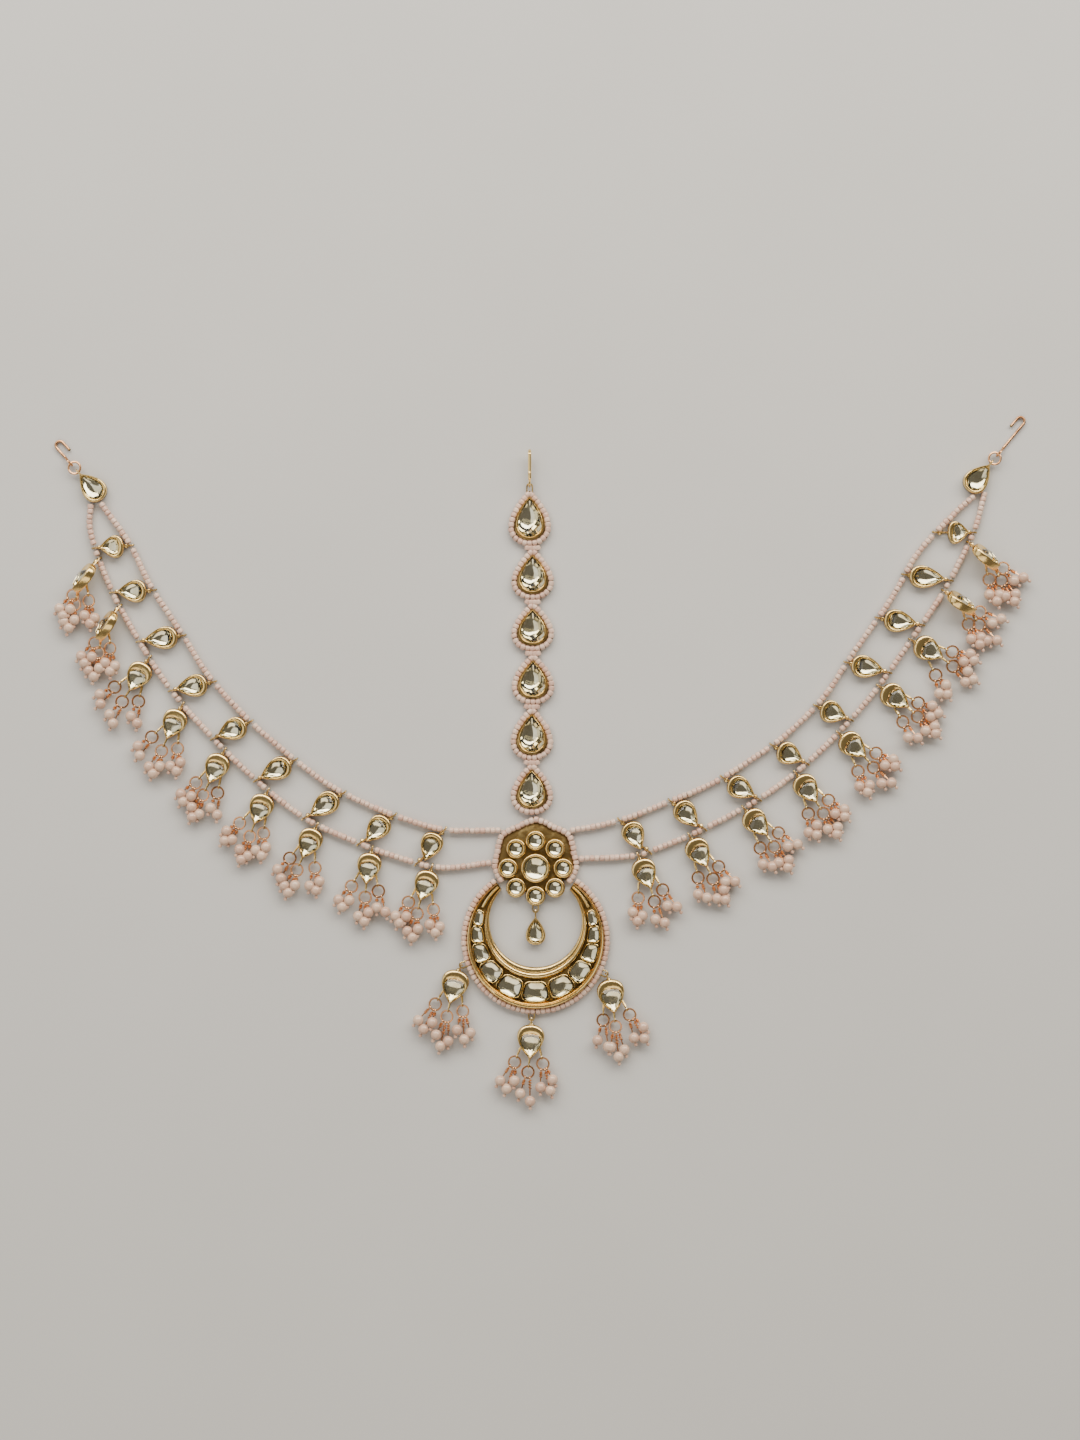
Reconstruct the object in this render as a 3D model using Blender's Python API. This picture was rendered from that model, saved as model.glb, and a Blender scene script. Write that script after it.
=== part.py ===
"""Matha patti, a jewel for the forehead and the parting of the hair, lying flat on a table.

The middle is a chain of six pear settings that ends in a rosette and a crescent with drops.
Each side is a ladder: two strings of seed beads, nine pear settings between them, and nine
pear drops with bunches of pearls below. X is along the width, Y points to the head hook and
Z is up, away from the table. All lengths are in metres.
"""

import math

import bpy
import bmesh
import numpy as np

MM = 0.001

# Seed beads, wire and the room between pieces
BEAD_WIDTH = 1.75 * MM
THREAD_WIDTH = 0.44 * MM
WIRE_WIDTH = 0.44 * MM
CLEARANCE = 0.3 * MM
STRING_END_CLEARANCE = 0.55 * MM
STRING_SEAT_CLEARANCE = 0.65 * MM
TABLE_CLEARANCE = 0.12 * MM
BARE_THREAD = 1.2 * MM
SOLDER_DEPTH = 0.8 * MM

# Settings: height of the gold rim and of the stone's table, and the width of the rim
RIM_HEIGHT = 2.3 * MM
TABLE_HEIGHT = 3.0 * MM
RIM_WIDTH = 0.75 * MM
PEAR_POINTS = 10
TABLE_SHARE = 0.5
BACK_SHARE = 0.93

# A pear's outline is the sine of a turn times the sine of half of it; this is its highest value
PEAR_PEAK = 0.7698

# Links of the middle chain, from the head hook down: length and width of each with its beads
LINK_WIDTH = 11.8 * MM
LINK_LENGTHS = (15.4 * MM, 14.3 * MM, 13.6 * MM, 14.1 * MM, 14.8 * MM, 14.3 * MM)
LINK_POINTS = 12
BORDER_WIDTH = 1.75 * MM

# How far each link lies to the side of the rosette's middle, from the head hook down
LINK_SHIFTS = (-1.6 * MM, -0.8 * MM, -0.8 * MM, -0.7 * MM, -1.0 * MM, -1.0 * MM)

# A border of beads from the table up to the plate inside it: shares of its width inwards and up
BORDER_SECTION = ((0.25, 0.0), (0.0, 0.5), (0.5, 1.0))

# Rosette
ROSETTE_RADIUS = 13.2 * MM
PETAL_COUNT = 8
PETAL_CIRCLE = 7.45 * MM
PETAL_WIDTH = 5.1 * MM
CENTRE_WIDTH = 7.9 * MM
CENTRE_RISE = 0.4 * MM
COLLET_POINTS = 8
PLATE_HEIGHT = 1.3 * MM
ROSETTE_LOOP_SINK = 0.1 * MM

# Crescent
CRESCENT_RADIUS = 20.2 * MM
CRESCENT_DROP = 19.4 * MM
OPENING_RADIUS = 12.5 * MM
OPENING_RISE = 5.1 * MM
CRESCENT_SPANS = 16
CHANNEL_HEIGHT = 2.0 * MM
CHANNEL_WALL_HEIGHT = 2.6 * MM
INNER_RIM_HEIGHT = 3.0 * MM
STONE_SEPARATOR = 0.8 * MM
STONE_CORNER_SHARE = 0.6

# Pear settings of the ladders, the ends and the drops
RUNG_WIDTH = 6.2 * MM
RUNG_SEATS = (0.25, 0.72)
END_STONE_LENGTH = 9.2 * MM
END_STONE_WIDTH = 6.6 * MM
DROP_LENGTH = 8.7 * MM
DROP_WIDTH = 6.6 * MM
CRESCENT_DROP_LENGTH = 9.4 * MM
CRESCENT_DROP_WIDTH = 7.4 * MM
CRESCENT_DROP_CLEARANCE = 0.5 * MM
INNER_DROP_LENGTH = 7.6 * MM
INNER_DROP_WIDTH = 5.4 * MM

# Bunches of pearls, and where the side ones are rooted: shares of their drop's length and width
BUNCH_LENGTH = 13.6 * MM
BUNCH_WIDTH = 4.3 * MM
CRESCENT_BUNCH_LENGTH = 15.4 * MM
CRESCENT_BUNCH_WIDTH = 5.8 * MM
BUNCH_HEIGHT = 3.0 * MM
SIDE_BUNCH_SPREAD = 16.0
SIDE_BUNCH_ALONG = 0.52
SIDE_BUNCH_ACROSS = 0.3
BUNCH_SIDES = 4

# Hooks and rings
LOOP_REACH = 1.5 * MM
LOOP_WIDTH = 1.5 * MM
LOOP_HEIGHT = 1.35 * MM
LOOP_SLACK = 0.25 * MM
HEAD_HOOK_WIRE = 0.9 * MM
HEAD_HOOK_LENGTH = 8.5 * MM
HEAD_HOOK_BEND = 1.6 * MM
HEAD_HOOK_RETURN = 4.4 * MM
HOOK_EYE_WIDTH = 2.6 * MM
RING_WIDTH = 3.8 * MM
RING_WIRE = 0.6 * MM
RING_POINTS = 10
END_HOOK_WIRE = 0.7 * MM
END_HOOK_BEND = 1.1 * MM
END_HOOK_RETURN = 2.6 * MM
BEND_STEPS = 6
WIRE_SIDES = 5
EYE_SIDES = 4
EYE_BEND = 60.0
STEEP = 0.9
SPAN_BEADS = 4
FITTING_STEPS = 8
FITTING_SHARE = 0.8

# The crescent's section from its outer edge to its opening: whole bead widths, share of what
# lies inside the beads, and height
CRESCENT_SECTION = (
    # beads, share, height
    (0.0, 0.0, 0.0),
    (0.0, 0.0, 0.5 * BORDER_WIDTH),
    (0.5, 0.0, BORDER_WIDTH),
    (1.0, 0.0, PLATE_HEIGHT),
    (1.0, 0.05, CHANNEL_WALL_HEIGHT),
    (1.0, 0.13, CHANNEL_HEIGHT),
    (1.0, 0.77, CHANNEL_HEIGHT),
    (1.0, 0.83, INNER_RIM_HEIGHT),
    (1.0, 1.0, CHANNEL_WALL_HEIGHT),
    (1.0, 1.0, 0.0),
)

# Degrees from the crescent's lowest point at which one stone of a side ends and the next starts
CRESCENT_STONE_EDGES = (15.0, 43.0, 67.0, 87.0, 104.0, 119.0)
STONE_CHANNEL = (0.17, 0.75)

# The rosette's outline: degrees from its top, and share of its radius
ROSETTE_OUTLINE = (
    # degrees, share
    (0.0, 1.06),
    (22.5, 0.98),
    (45.0, 1.03),
    (67.5, 0.91),
    (90.0, 0.90),
    (112.5, 0.80),
    (135.0, 0.80),
    (157.5, 0.80),
    (180.0, 0.80),
)
ROSETTE_TOP_SHARE = ROSETTE_OUTLINE[0][1]
ROSETTE_LOW_SHARE = ROSETTE_OUTLINE[-1][1]

# One bunch of pearls: share of its length, of its width and of its height
BUNCH_SECTIONS = (
    # along, width, height
    (0.0, 0.22, 0.3),
    (0.24, 0.66, 0.42),
    (0.68, 1.0, 1.0),
    (1.0, 0.32, 0.45),
)

# Where each string ends at the rosette's border: degrees from the rosette's top towards +X
STRING_SEATS = {"left_upper": -44.1, "left_lower": -83.7, "right_upper": 44.1, "right_lower": 78.3}

# Routes of the four strings of beads, from the end stone until they near the rosette, in
# millimetres from the rosette's centre
STRING_ROUTES = {
    "left_upper": [
        (-117.5, 98.6), (-109.8, 87.8), (-103.9, 76.1), (-95.8, 63.7), (-88.2, 51.8),
        (-77.8, 40.3), (-66.5, 30.4), (-55.0, 22.0), (-41.0, 15.3), (-26.5, 10.7),
        (-18.0, 10.1),
    ],
    "left_lower": [
        (-120.2, 98.4), (-120.1, 90.2), (-114.6, 75.2), (-106.8, 60.8), (-98.5, 48.1),
        (-88.2, 36.2), (-76.2, 24.4), (-63.6, 14.3), (-51.1, 8.1), (-36.0, 2.5),
        (-24.9, 0.1),
    ],
    "right_upper": [
        (118.6, 100.6), (112.1, 94.8), (102.6, 84.1), (96.2, 72.9), (85.1, 57.0),
        (77.6, 45.9), (66.5, 35.1), (49.5, 23.8), (37.2, 18.4), (25.6, 13.8),
        (17.4, 11.5),
    ],
    "right_lower": [
        (121.4, 101.6), (118.3, 90.7), (110.6, 75.3), (101.8, 62.1), (92.3, 48.6),
        (84.3, 39.2), (74.3, 29.2), (62.1, 19.8), (47.9, 11.8), (33.8, 5.6),
        (25.6, 3.2),
    ],
}

# The stations of each ladder, from its end stone to the rosette: shares of the upper and
# lower string at which a rung's eyes sit, degrees that its stone leans from the line between
# them, share of the lower string at which the drop hangs, the directions of the drop and of
# its bunches in degrees from straight down (outward is positive), and degrees that the drop is
# rolled about its length
LADDERS = {
    "left": (
        # upper, lower, lean, drop, outward, bunches, roll
        (0.096, 0.076, 0.0, 0.096, 34.0, 14.0, 68.0),
        (0.188, 0.157, 0.0, 0.184, 30.0, 18.0, 68.0),
        (0.287, 0.252, 0.0, 0.285, 30.0, 30.0, 0.0),
        (0.389, 0.352, 0.0, 0.383, 24.0, 24.0, 0.0),
        (0.488, 0.461, 0.0, 0.489, 25.0, 25.0, 0.0),
        (0.596, 0.563, 0.0, 0.590, 22.0, 22.0, 0.0),
        (0.704, 0.667, 6.0, 0.693, 24.0, 20.0, 0.0),
        (0.806, 0.770, 12.0, 0.795, 10.0, 10.0, 0.0),
        (0.902, 0.874, 20.0, 0.902, 20.0, 12.0, 0.0),
    ),
    "right": (
        # upper, lower, lean, drop, outward, bunches, roll
        (0.100, 0.072, 0.0, 0.092, 46.0, 34.0, 68.0),
        (0.196, 0.164, 0.0, 0.186, 52.0, 42.0, 68.0),
        (0.290, 0.255, 0.0, 0.288, 61.0, 48.0, 0.0),
        (0.390, 0.355, 0.0, 0.385, 55.0, 46.0, 0.0),
        (0.488, 0.460, 0.0, 0.492, 49.0, 42.0, 0.0),
        (0.597, 0.567, 0.0, 0.593, 36.0, 32.0, 0.0),
        (0.706, 0.670, 0.0, 0.702, 42.0, 34.0, 0.0),
        (0.812, 0.777, 12.0, 0.807, 30.0, 24.0, 0.0),
        (0.912, 0.880, 20.0, 0.902, 22.0, 16.0, 0.0),
    ),
}

# The crescent's drops: degrees from the crescent's lowest point, and the drop's direction in
# degrees from straight down, towards +X
CRESCENT_DROPS = {
    # name: (place, direction)
    "left_crescent_drop": (-71.0, -15.0),
    "centre_crescent_drop": (-3.0, -2.0),
    "right_crescent_drop": (64.0, 10.0),
}

# The end stones point to their hooks: degrees from +Y towards +X
END_STONE_HEADINGS = {"left": -42.0, "right": 40.0}
END_HOOK_LENGTHS = {"left": 6.6 * MM, "right": 11.6 * MM}

STRING_HEIGHT = BEAD_WIDTH / 2 + TABLE_CLEARANCE
EYE_RADIUS = THREAD_WIDTH / 2 + CLEARANCE + WIRE_WIDTH / 2
ROSETTE_FOOT = ROSETTE_RADIUS * ROSETTE_LOW_SHARE - ROSETTE_LOOP_SINK
STRING_ROOM = BEAD_WIDTH / 2 + CLEARANCE
UP = np.array((0.0, 0.0, 1.0))
GOLD, GLASS, BEADS = range(3)


def clear_scene():
    for obj in list(bpy.data.objects):
        bpy.data.objects.remove(obj, do_unlink=True)


def make_material(name, colour, metallic, roughness):
    material = bpy.data.materials.new(name)
    material.use_nodes = True
    shader = material.node_tree.nodes["Principled BSDF"]
    shader.inputs["Base Color"].default_value = (*colour, 1.0)
    shader.inputs["Metallic"].default_value = metallic
    shader.inputs["Roughness"].default_value = roughness
    return material


def flat(x, y):
    """A point or direction on the table."""
    return np.array((x, y, 0.0))


def bearing(degrees):
    """The direction this many degrees from straight down (-Y), towards +X."""
    turn = math.radians(degrees)
    return flat(math.sin(turn), -math.cos(turn))


def across(direction):
    """A flat direction turned a quarter to its left."""
    return flat(-direction[1], direction[0])


def unit(vector):
    return vector / np.linalg.norm(vector)


def square_to(direction):
    """A direction square to the given one."""
    steep = abs(unit(direction)[2]) > STEEP
    return unit(np.cross(direction, flat(1.0, 0.0) if steep else UP))


# Shapes: each is a pair of points and faces with a material number

def loft(rings, ring_materials, ends=(GOLD, GOLD), closed=False):
    """A solid through rings of as many points each, with flat ends or closed into a loop."""
    count = len(rings[0])
    points = [tuple(point) for ring in rings for point in ring]
    faces = []
    spans = len(rings) if closed else len(rings) - 1
    for span in range(spans):
        low = span * count
        high = (span + 1) % len(rings) * count
        for i in range(count):
            j = (i + 1) % count
            faces.append(((low + i, low + j, high + j, high + i), ring_materials[span]))
    if not closed:
        last = (len(rings) - 1) * count
        faces.append((tuple(reversed(range(count))), ends[0]))
        faces.append((tuple(range(last, last + count)), ends[1]))
    return points, faces


def pear_outline(length, width, count):
    """Points round a pear whose round end is at 0 and whose tip is at (length, 0)."""
    turn = np.arange(count) * 2 * math.pi / count
    along = length / 2 * (1 + np.cos(turn))
    side = width / 2 * np.sin(turn) * np.sin(turn / 2) / PEAR_PEAK
    return np.stack((along, side), axis=1)


def pear_rings(length, width, count, rows):
    """Outlines of a pear, one for each row of inset and height, all about its middle."""
    rings = []
    for inset, height in rows:
        outline = pear_outline(length - 2 * inset, width - 2 * inset, count)
        outline[:, 0] += inset
        rings.append(np.column_stack((outline, np.full(count, height))))
    return rings


def crown_rows(width):
    """Rows of inset and height for the rim of a setting and the stone that it holds."""
    table_inset = RIM_WIDTH + (width / 2 - RIM_WIDTH) * (1 - TABLE_SHARE)
    return [(0.0, RIM_HEIGHT), (RIM_WIDTH, RIM_HEIGHT), (table_inset, TABLE_HEIGHT)]


def border_rows():
    """Rows of inset and height for a border of beads round a plate."""
    rows = [(inwards * BORDER_WIDTH, up * BORDER_WIDTH) for inwards, up in BORDER_SECTION]
    return [*rows, (BORDER_WIDTH, PLATE_HEIGHT)]


def pear_setting(length, width):
    """A pear stone in its gold cup: wall, rim, facets and table."""
    back_inset = width / 2 * (1 - BACK_SHARE)
    rows = [(back_inset, 0.0), *crown_rows(width)]
    rings = pear_rings(length, width, PEAR_POINTS, rows)
    return loft(rings, (GOLD, GOLD, GLASS), (GOLD, GLASS))


def placed(shape, origin, heading, roll=0.0, height=0.0):
    """The shape with its length along heading, rolled about a line at the given height."""
    points, faces = shape
    turn = math.radians(roll)
    heading = unit(heading)
    side = across(heading)
    moved = []
    for along, left, up in points:
        rolled_left = left * math.cos(turn) - (up - height) * math.sin(turn)
        rolled_up = left * math.sin(turn) + (up - height) * math.cos(turn) + height
        moved.append(origin + heading * along + side * rolled_left + UP * rolled_up)
    return moved, faces


def wire(path, width, sides=WIRE_SIDES, closed=False):
    """A round wire along the path, its section carried along without twisting."""
    path = np.array(path)
    if closed:
        tangents = np.roll(path, -1, axis=0) - np.roll(path, 1, axis=0)
    else:
        tangents = np.gradient(path, axis=0)
    turns = np.arange(sides) * 2 * math.pi / sides
    normal = square_to(tangents[0])
    rings = []
    for point, tangent in zip(path, tangents):
        tangent = unit(tangent)
        normal = unit(normal - tangent * np.dot(normal, tangent))
        other = np.cross(tangent, normal)
        circle = np.outer(np.cos(turns), normal) + np.outer(np.sin(turns), other)
        rings.append(point + circle * width / 2)
    return loft(rings, [GOLD] * len(rings), closed=closed)


def ring(centre, facing, width, wire_width):
    """A round ring whose hole faces along the given direction."""
    first = square_to(facing)
    second = np.cross(unit(facing), first)
    radius = (width - wire_width) / 2
    turns = np.arange(RING_POINTS) * 2 * math.pi / RING_POINTS
    path = centre + radius * (np.outer(np.cos(turns), first) + np.outer(np.sin(turns), second))
    return wire(path, wire_width, closed=True)


def upright_eye(centre, outward, inside):
    """A bent wire that stands round a thread or a bar at centre and is soldered inside."""
    leg = UP * EYE_RADIUS
    back = -outward * EYE_RADIUS
    bend = math.radians(EYE_BEND)
    over = leg * math.sin(bend) + back * math.cos(bend)
    under = -leg * math.sin(bend) + back * math.cos(bend)
    path = [inside + leg, centre + over, centre + back, centre + under, inside - leg]
    if inside[2] - centre[2] > EYE_RADIUS:
        path.insert(4, centre + outward * STRING_ROOM - leg)
    return wire(path, WIRE_WIDTH, EYE_SIDES)


def flat_loop(edge, outward):
    """A wire loop that lies flat and reaches out from the edge of a setting."""
    side = across(outward) * LOOP_WIDTH / 2
    sunk = edge - outward * BORDER_WIDTH
    bend = edge + outward * (LOOP_REACH - LOOP_WIDTH / 2)
    round_out = outward * LOOP_WIDTH / 2
    diagonal = math.sqrt(0.5)
    path = [
        sunk + side,
        bend + side,
        bend + diagonal * (side + round_out),
        bend + round_out,
        bend + diagonal * (round_out - side),
        bend - side,
        sunk - side,
    ]
    return wire([point + UP * LOOP_HEIGHT for point in path], WIRE_WIDTH)


def bunch(start, heading, length, width, root_height):
    """The outer form of a jump ring with its wires and pearls, rooted at the given height."""
    side = across(heading)
    turns = np.arange(BUNCH_SIDES) * 2 * math.pi / BUNCH_SIDES
    rings = []
    for along, width_share, height_share in BUNCH_SECTIONS:
        half_height = BUNCH_HEIGHT * height_share / 2
        middle_height = half_height + TABLE_CLEARANCE if along else root_height
        centre = start + heading * length * along + UP * middle_height
        reach = np.outer(np.cos(turns), side) * width * width_share / 2
        rings.append(centre + reach + np.outer(np.sin(turns), UP) * half_height)
    return loft(rings, (GOLD, BEADS, BEADS), (GOLD, BEADS))


# Objects

def mesh_object(name, shape):
    points, faces = shape
    mesh = bpy.data.meshes.new(name)
    mesh.from_pydata([tuple(point) for point in points], [], [face for face, _ in faces])
    for material in MATERIALS:
        mesh.materials.append(material)
    mesh.polygons.foreach_set("material_index", [number for _, number in faces])
    shell = bmesh.new()
    shell.from_mesh(mesh)
    bmesh.ops.recalc_face_normals(shell, faces=shell.faces)
    shell.to_mesh(mesh)
    shell.free()
    obj = bpy.data.objects.new(name, mesh)
    bpy.context.scene.collection.objects.link(obj)
    return obj


def fuse(name, shapes, smooth=False):
    """One closed solid: the union of the shapes, as solder joins them."""
    body = mesh_object(name, shapes[0])
    tools = [mesh_object(f"{name}_tool", shape) for shape in shapes[1:]]
    for tool in tools:
        union = body.modifiers.new("Union", "BOOLEAN")
        union.operation = "UNION"
        union.solver = "EXACT"
        union.object = tool
    graph = bpy.context.evaluated_depsgraph_get()
    fused = bpy.data.meshes.new_from_object(body.evaluated_get(graph))
    body.modifiers.clear()
    loose = body.data
    body.data = fused
    fused.name = name
    fused.polygons.foreach_set("use_smooth", [smooth] * len(fused.polygons))
    bpy.data.meshes.remove(loose)
    for tool in tools:
        bpy.data.meshes.remove(tool.data)
    body.parent = JEWEL
    return body


# Strings of seed beads

def smooth_route(points, steps=40):
    """Points along the smooth curve that passes through the chosen ones."""
    chosen = np.array(points) * MM
    ends = [2 * chosen[0] - chosen[1], *chosen, 2 * chosen[-1] - chosen[-2]]
    line = []
    share = np.arange(steps)[:, None] / steps
    for a, b, c, d in zip(ends, ends[1:], ends[2:], ends[3:]):
        line.append(0.5 * (2 * b + (c - a) * share + (2 * a - 5 * b + 4 * c - d) * share**2
                           + (3 * b - a - 3 * c + d) * share**3))
    line.append(chosen[-1:])
    return np.vstack(line)


def string_seat(name):
    """The place just outside the rosette's border at which a string ends, in millimetres."""
    angles, shares = zip(*ROSETTE_OUTLINE)
    degrees = STRING_SEATS[name]
    reach = ROSETTE_RADIUS * np.interp(abs(degrees), angles, shares) + STRING_SEAT_CLEARANCE
    turn = math.radians(degrees)
    return math.sin(turn) * reach / MM, math.cos(turn) * reach / MM


class Route:
    """A smooth line on the table that is read by its share of the length."""

    def __init__(self, name):
        self.line = smooth_route([*STRING_ROUTES[name], string_seat(name)])
        steps = np.linalg.norm(np.diff(self.line, axis=0), axis=1)
        self.reached = np.concatenate(((0.0,), np.cumsum(steps)))
        self.length = self.reached[-1]

    def at(self, distance):
        x = np.interp(distance, self.reached, self.line[:, 0])
        y = np.interp(distance, self.reached, self.line[:, 1])
        return flat(x, y)

    def along(self, distance):
        """The direction of the line, towards the rosette."""
        return unit(self.at(distance + BEAD_WIDTH / 4) - self.at(distance - BEAD_WIDTH / 4))

    def station(self, share):
        distance = share * self.length
        return self.at(distance), self.along(distance)


def string_of_beads(name, route, bare_spans):
    """The outer form of a string of seed beads, narrow where eyes hold its bare thread."""
    rows = [(0.0, 1.0)]
    thread = THREAD_WIDTH / BEAD_WIDTH
    for start, end in [*bare_spans, (route.length + BARE_THREAD, None)]:
        before = rows[-1][0]
        gap = start - BARE_THREAD - before
        count = max(1, math.ceil(gap / (SPAN_BEADS * BEAD_WIDTH)))
        rows += [(before + gap * i / count, 1.0) for i in range(1, count + 1)]
        if end is None:
            break
        rows += [(start, thread), (end, thread)] if end > start else [(start, thread)]
        rows.append((end + BARE_THREAD, 1.0))
    curve = bpy.data.curves.new(name, "CURVE")
    curve.dimensions = "3D"
    curve.bevel_depth = BEAD_WIDTH / 2
    curve.bevel_resolution = 2
    curve.use_fill_caps = True
    spline = curve.splines.new("POLY")
    spline.points.add(len(rows) - 1)
    for point, (distance, radius) in zip(spline.points, rows):
        point.co = (*(route.at(distance) + UP * STRING_HEIGHT), 1.0)
        point.radius = radius
    curve.materials.append(MATERIALS[BEADS])
    obj = bpy.data.objects.new(name, curve)
    bpy.context.scene.collection.objects.link(obj)
    obj.parent = JEWEL


# Ladders

def spare_room(points, hold, outward):
    """How much further than the room for its beads the points lie from a string at hold."""
    return np.min((np.array(points) - hold) @ outward) - STRING_ROOM


def facing_side(string_direction, heading):
    """The direction square to the string, on the side that heading points to."""
    square = across(string_direction)
    return square if np.dot(square, heading) > 0 else -square


def eye_on_string(point, string_direction, inside):
    heading = unit(inside - point)
    centre = point + UP * STRING_HEIGHT
    return upright_eye(centre, facing_side(string_direction, heading), inside + UP * STRING_HEIGHT)


def rung(name, upper, lower, lean):
    """A pear setting between the strings, its round end at the upper one."""
    (top, top_direction), (foot, foot_direction) = upper, lower
    line = unit(foot - top)
    turn = math.radians(lean)
    heading = line * math.cos(turn) + across(line) * math.sin(turn)
    from_top = facing_side(top_direction, line)
    from_foot = facing_side(foot_direction, -line)
    middle = (top + foot) / 2
    length = np.linalg.norm(foot - top) - 2 * STRING_ROOM
    for _ in range(FITTING_STEPS):
        start = middle - heading * length / 2
        setting = placed(pear_setting(length, RUNG_WIDTH), start, heading)
        at_top = spare_room(setting[0], top, from_top)
        at_foot = spare_room(setting[0], foot, from_foot)
        length += (at_top + at_foot) * FITTING_SHARE
        middle = middle + line * (at_foot - at_top) / 2
    top_seat = start + heading * length * RUNG_SEATS[0]
    foot_seat = start + heading * length * RUNG_SEATS[1]
    eyes = [eye_on_string(top, top_direction, top_seat)]
    eyes.append(eye_on_string(foot, foot_direction, foot_seat))
    fuse(name, [setting, *eyes])


def step_off_crescent(points, heading):
    """How far the points go on along heading until they clear the crescent's border."""
    offsets = (np.array(points) - CRESCENT_CENTRE)[:, :2]
    room = CRESCENT_RADIUS + CRESCENT_DROP_CLEARANCE
    along = offsets @ heading[:2]
    depth = along**2 - np.sum(offsets**2, axis=1) + room**2
    leaving = np.sqrt(np.maximum(depth, 0.0)) - along
    return max(STRING_ROOM, np.max(np.where(depth > 0, leaving, 0.0)))


def hanging_drop(name, hold, heading, bunches, outward, sizes, roll=0.0, on_crescent=False):
    """A pear drop on an eye, its tip away from it, with three bunches of pearls.

    The sizes are the setting's length and width and then those of a bunch.
    """
    length, width, bunch_length, bunch_width = sizes
    turn = math.radians(abs(roll))
    axis = RIM_HEIGHT / 2
    lift = width / 2 * math.sin(turn) - axis * (1 - math.cos(turn))
    below = flat(hold[0], hold[1])
    setting = placed(pear_setting(length, width), below + UP * lift, heading, roll, axis)
    if on_crescent:
        step = step_off_crescent(setting[0], heading)
    else:
        step = -spare_room(setting[0], hold, outward) / np.dot(heading, outward)
    start = below + heading * step
    setting = placed(pear_setting(length, width), start + UP * lift, heading, roll, axis)
    seat = start + heading * 2 * SOLDER_DEPTH + UP * (axis + lift)
    shapes = [setting, upright_eye(hold, outward, seat)]
    flat_width = width * math.cos(turn)
    for side in (-1, 1):
        spread = math.radians(SIDE_BUNCH_SPREAD * side)
        way = bunches * math.cos(spread) + across(bunches) * math.sin(spread)
        root = start + heading * length * SIDE_BUNCH_ALONG
        root += across(heading) * flat_width * SIDE_BUNCH_ACROSS * side
        shapes.append(bunch(root, way, bunch_length, bunch_width, axis + lift))
    root = start + heading * (length - 2 * SOLDER_DEPTH)
    shapes.append(bunch(root, bunches, bunch_length, bunch_width, axis + lift))
    fuse(name, shapes)


def ladder(side, rows):
    """One side of the jewel: two strings, the rungs between them and the drops below."""
    mirror = -1 if side == "left" else 1
    sizes = (DROP_LENGTH, DROP_WIDTH, BUNCH_LENGTH, BUNCH_WIDTH)
    upper = Route(f"{side}_upper")
    lower = Route(f"{side}_lower")
    upper_spans, lower_spans = [], []
    for number, (top, foot, lean, hang, outward, bunches, roll) in enumerate(rows, 1):
        upper_spans.append((top * upper.length, top * upper.length))
        lower_spans.append((foot * lower.length, hang * lower.length))
        rung(f"{side}_rung_{number}", upper.station(top), lower.station(foot), mirror * -lean)
        hold, direction = lower.station(hang)
        heading = bearing(mirror * outward)
        hanging_drop(f"{side}_drop_{number}", hold + UP * STRING_HEIGHT, heading,
                     bearing(mirror * bunches), facing_side(direction, heading), sizes,
                     mirror * -roll)
    string_of_beads(f"{side}_upper_string", upper, upper_spans)
    string_of_beads(f"{side}_lower_string", lower, lower_spans)
    end_pieces(side, upper.at(0.0), lower.at(0.0))


def end_pieces(side, upper_end, lower_end):
    """The stone at a ladder's end, seated on both strings, with its rings and hook."""
    mirror = -1 if side == "left" else 1
    apart = upper_end - lower_end
    reach = END_STONE_WIDTH / 2 + STRING_END_CLEARANCE
    rise = math.sqrt(reach**2 - np.dot(apart, apart) / 4)
    away = -unit(across(apart)) * mirror
    turn = math.radians(END_STONE_HEADINGS[side])
    heading = flat(math.sin(turn), math.cos(turn))
    belly = (upper_end + lower_end) / 2 + away * rise
    start = belly - heading * END_STONE_WIDTH / 2
    setting = placed(pear_setting(END_STONE_LENGTH, END_STONE_WIDTH), start, heading)
    tip = start + heading * END_STONE_LENGTH + UP * LOOP_HEIGHT
    hold = tip + heading * (RING_WIRE / 2 + CLEARANCE)
    eye = upright_eye(hold, -heading, tip - heading * 2 * SOLDER_DEPTH)
    fuse(f"{side}_end_stone", [setting, eye])
    radius = (RING_WIDTH - RING_WIRE) / 2
    fuse(f"{side}_ring", [ring(hold + heading * radius, UP, RING_WIDTH, RING_WIRE)], smooth=True)
    end_hook(f"{side}_hook", hold + heading * 2 * radius, heading, END_HOOK_LENGTHS[side], mirror)


def hook_eye(bar, heading):
    """The middle of a hook's upright eye, and the eye itself, round a bar of wire."""
    middle = bar + heading * LOOP_SLACK
    middle[2] = HOOK_EYE_WIDTH / 2 + TABLE_CLEARANCE
    return middle, ring(middle, across(heading), HOOK_EYE_WIDTH, RING_WIRE)


def end_hook(name, bar, heading, length, mirror):
    """A small hook that lies flat, its upright eye round the ring."""
    middle, eye = hook_eye(bar, heading)
    far = middle + heading * (HOOK_EYE_WIDTH - RING_WIRE) / 2
    low = END_HOOK_WIRE / 2 + TABLE_CLEARANCE - middle[2]
    side = across(heading) * mirror
    turn_middle = middle + heading * (length - END_HOOK_BEND) + side * END_HOOK_BEND + UP * low
    path = [far, far + heading * END_HOOK_BEND + UP * low]
    for step in range(BEND_STEPS + 1):
        turn = math.pi * step / BEND_STEPS
        reach = heading * math.sin(turn) - side * math.cos(turn)
        path.append(turn_middle + reach * END_HOOK_BEND)
    path.append(path[-1] - heading * END_HOOK_RETURN)
    fuse(name, [wire(path, END_HOOK_WIRE), eye], smooth=True)


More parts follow.
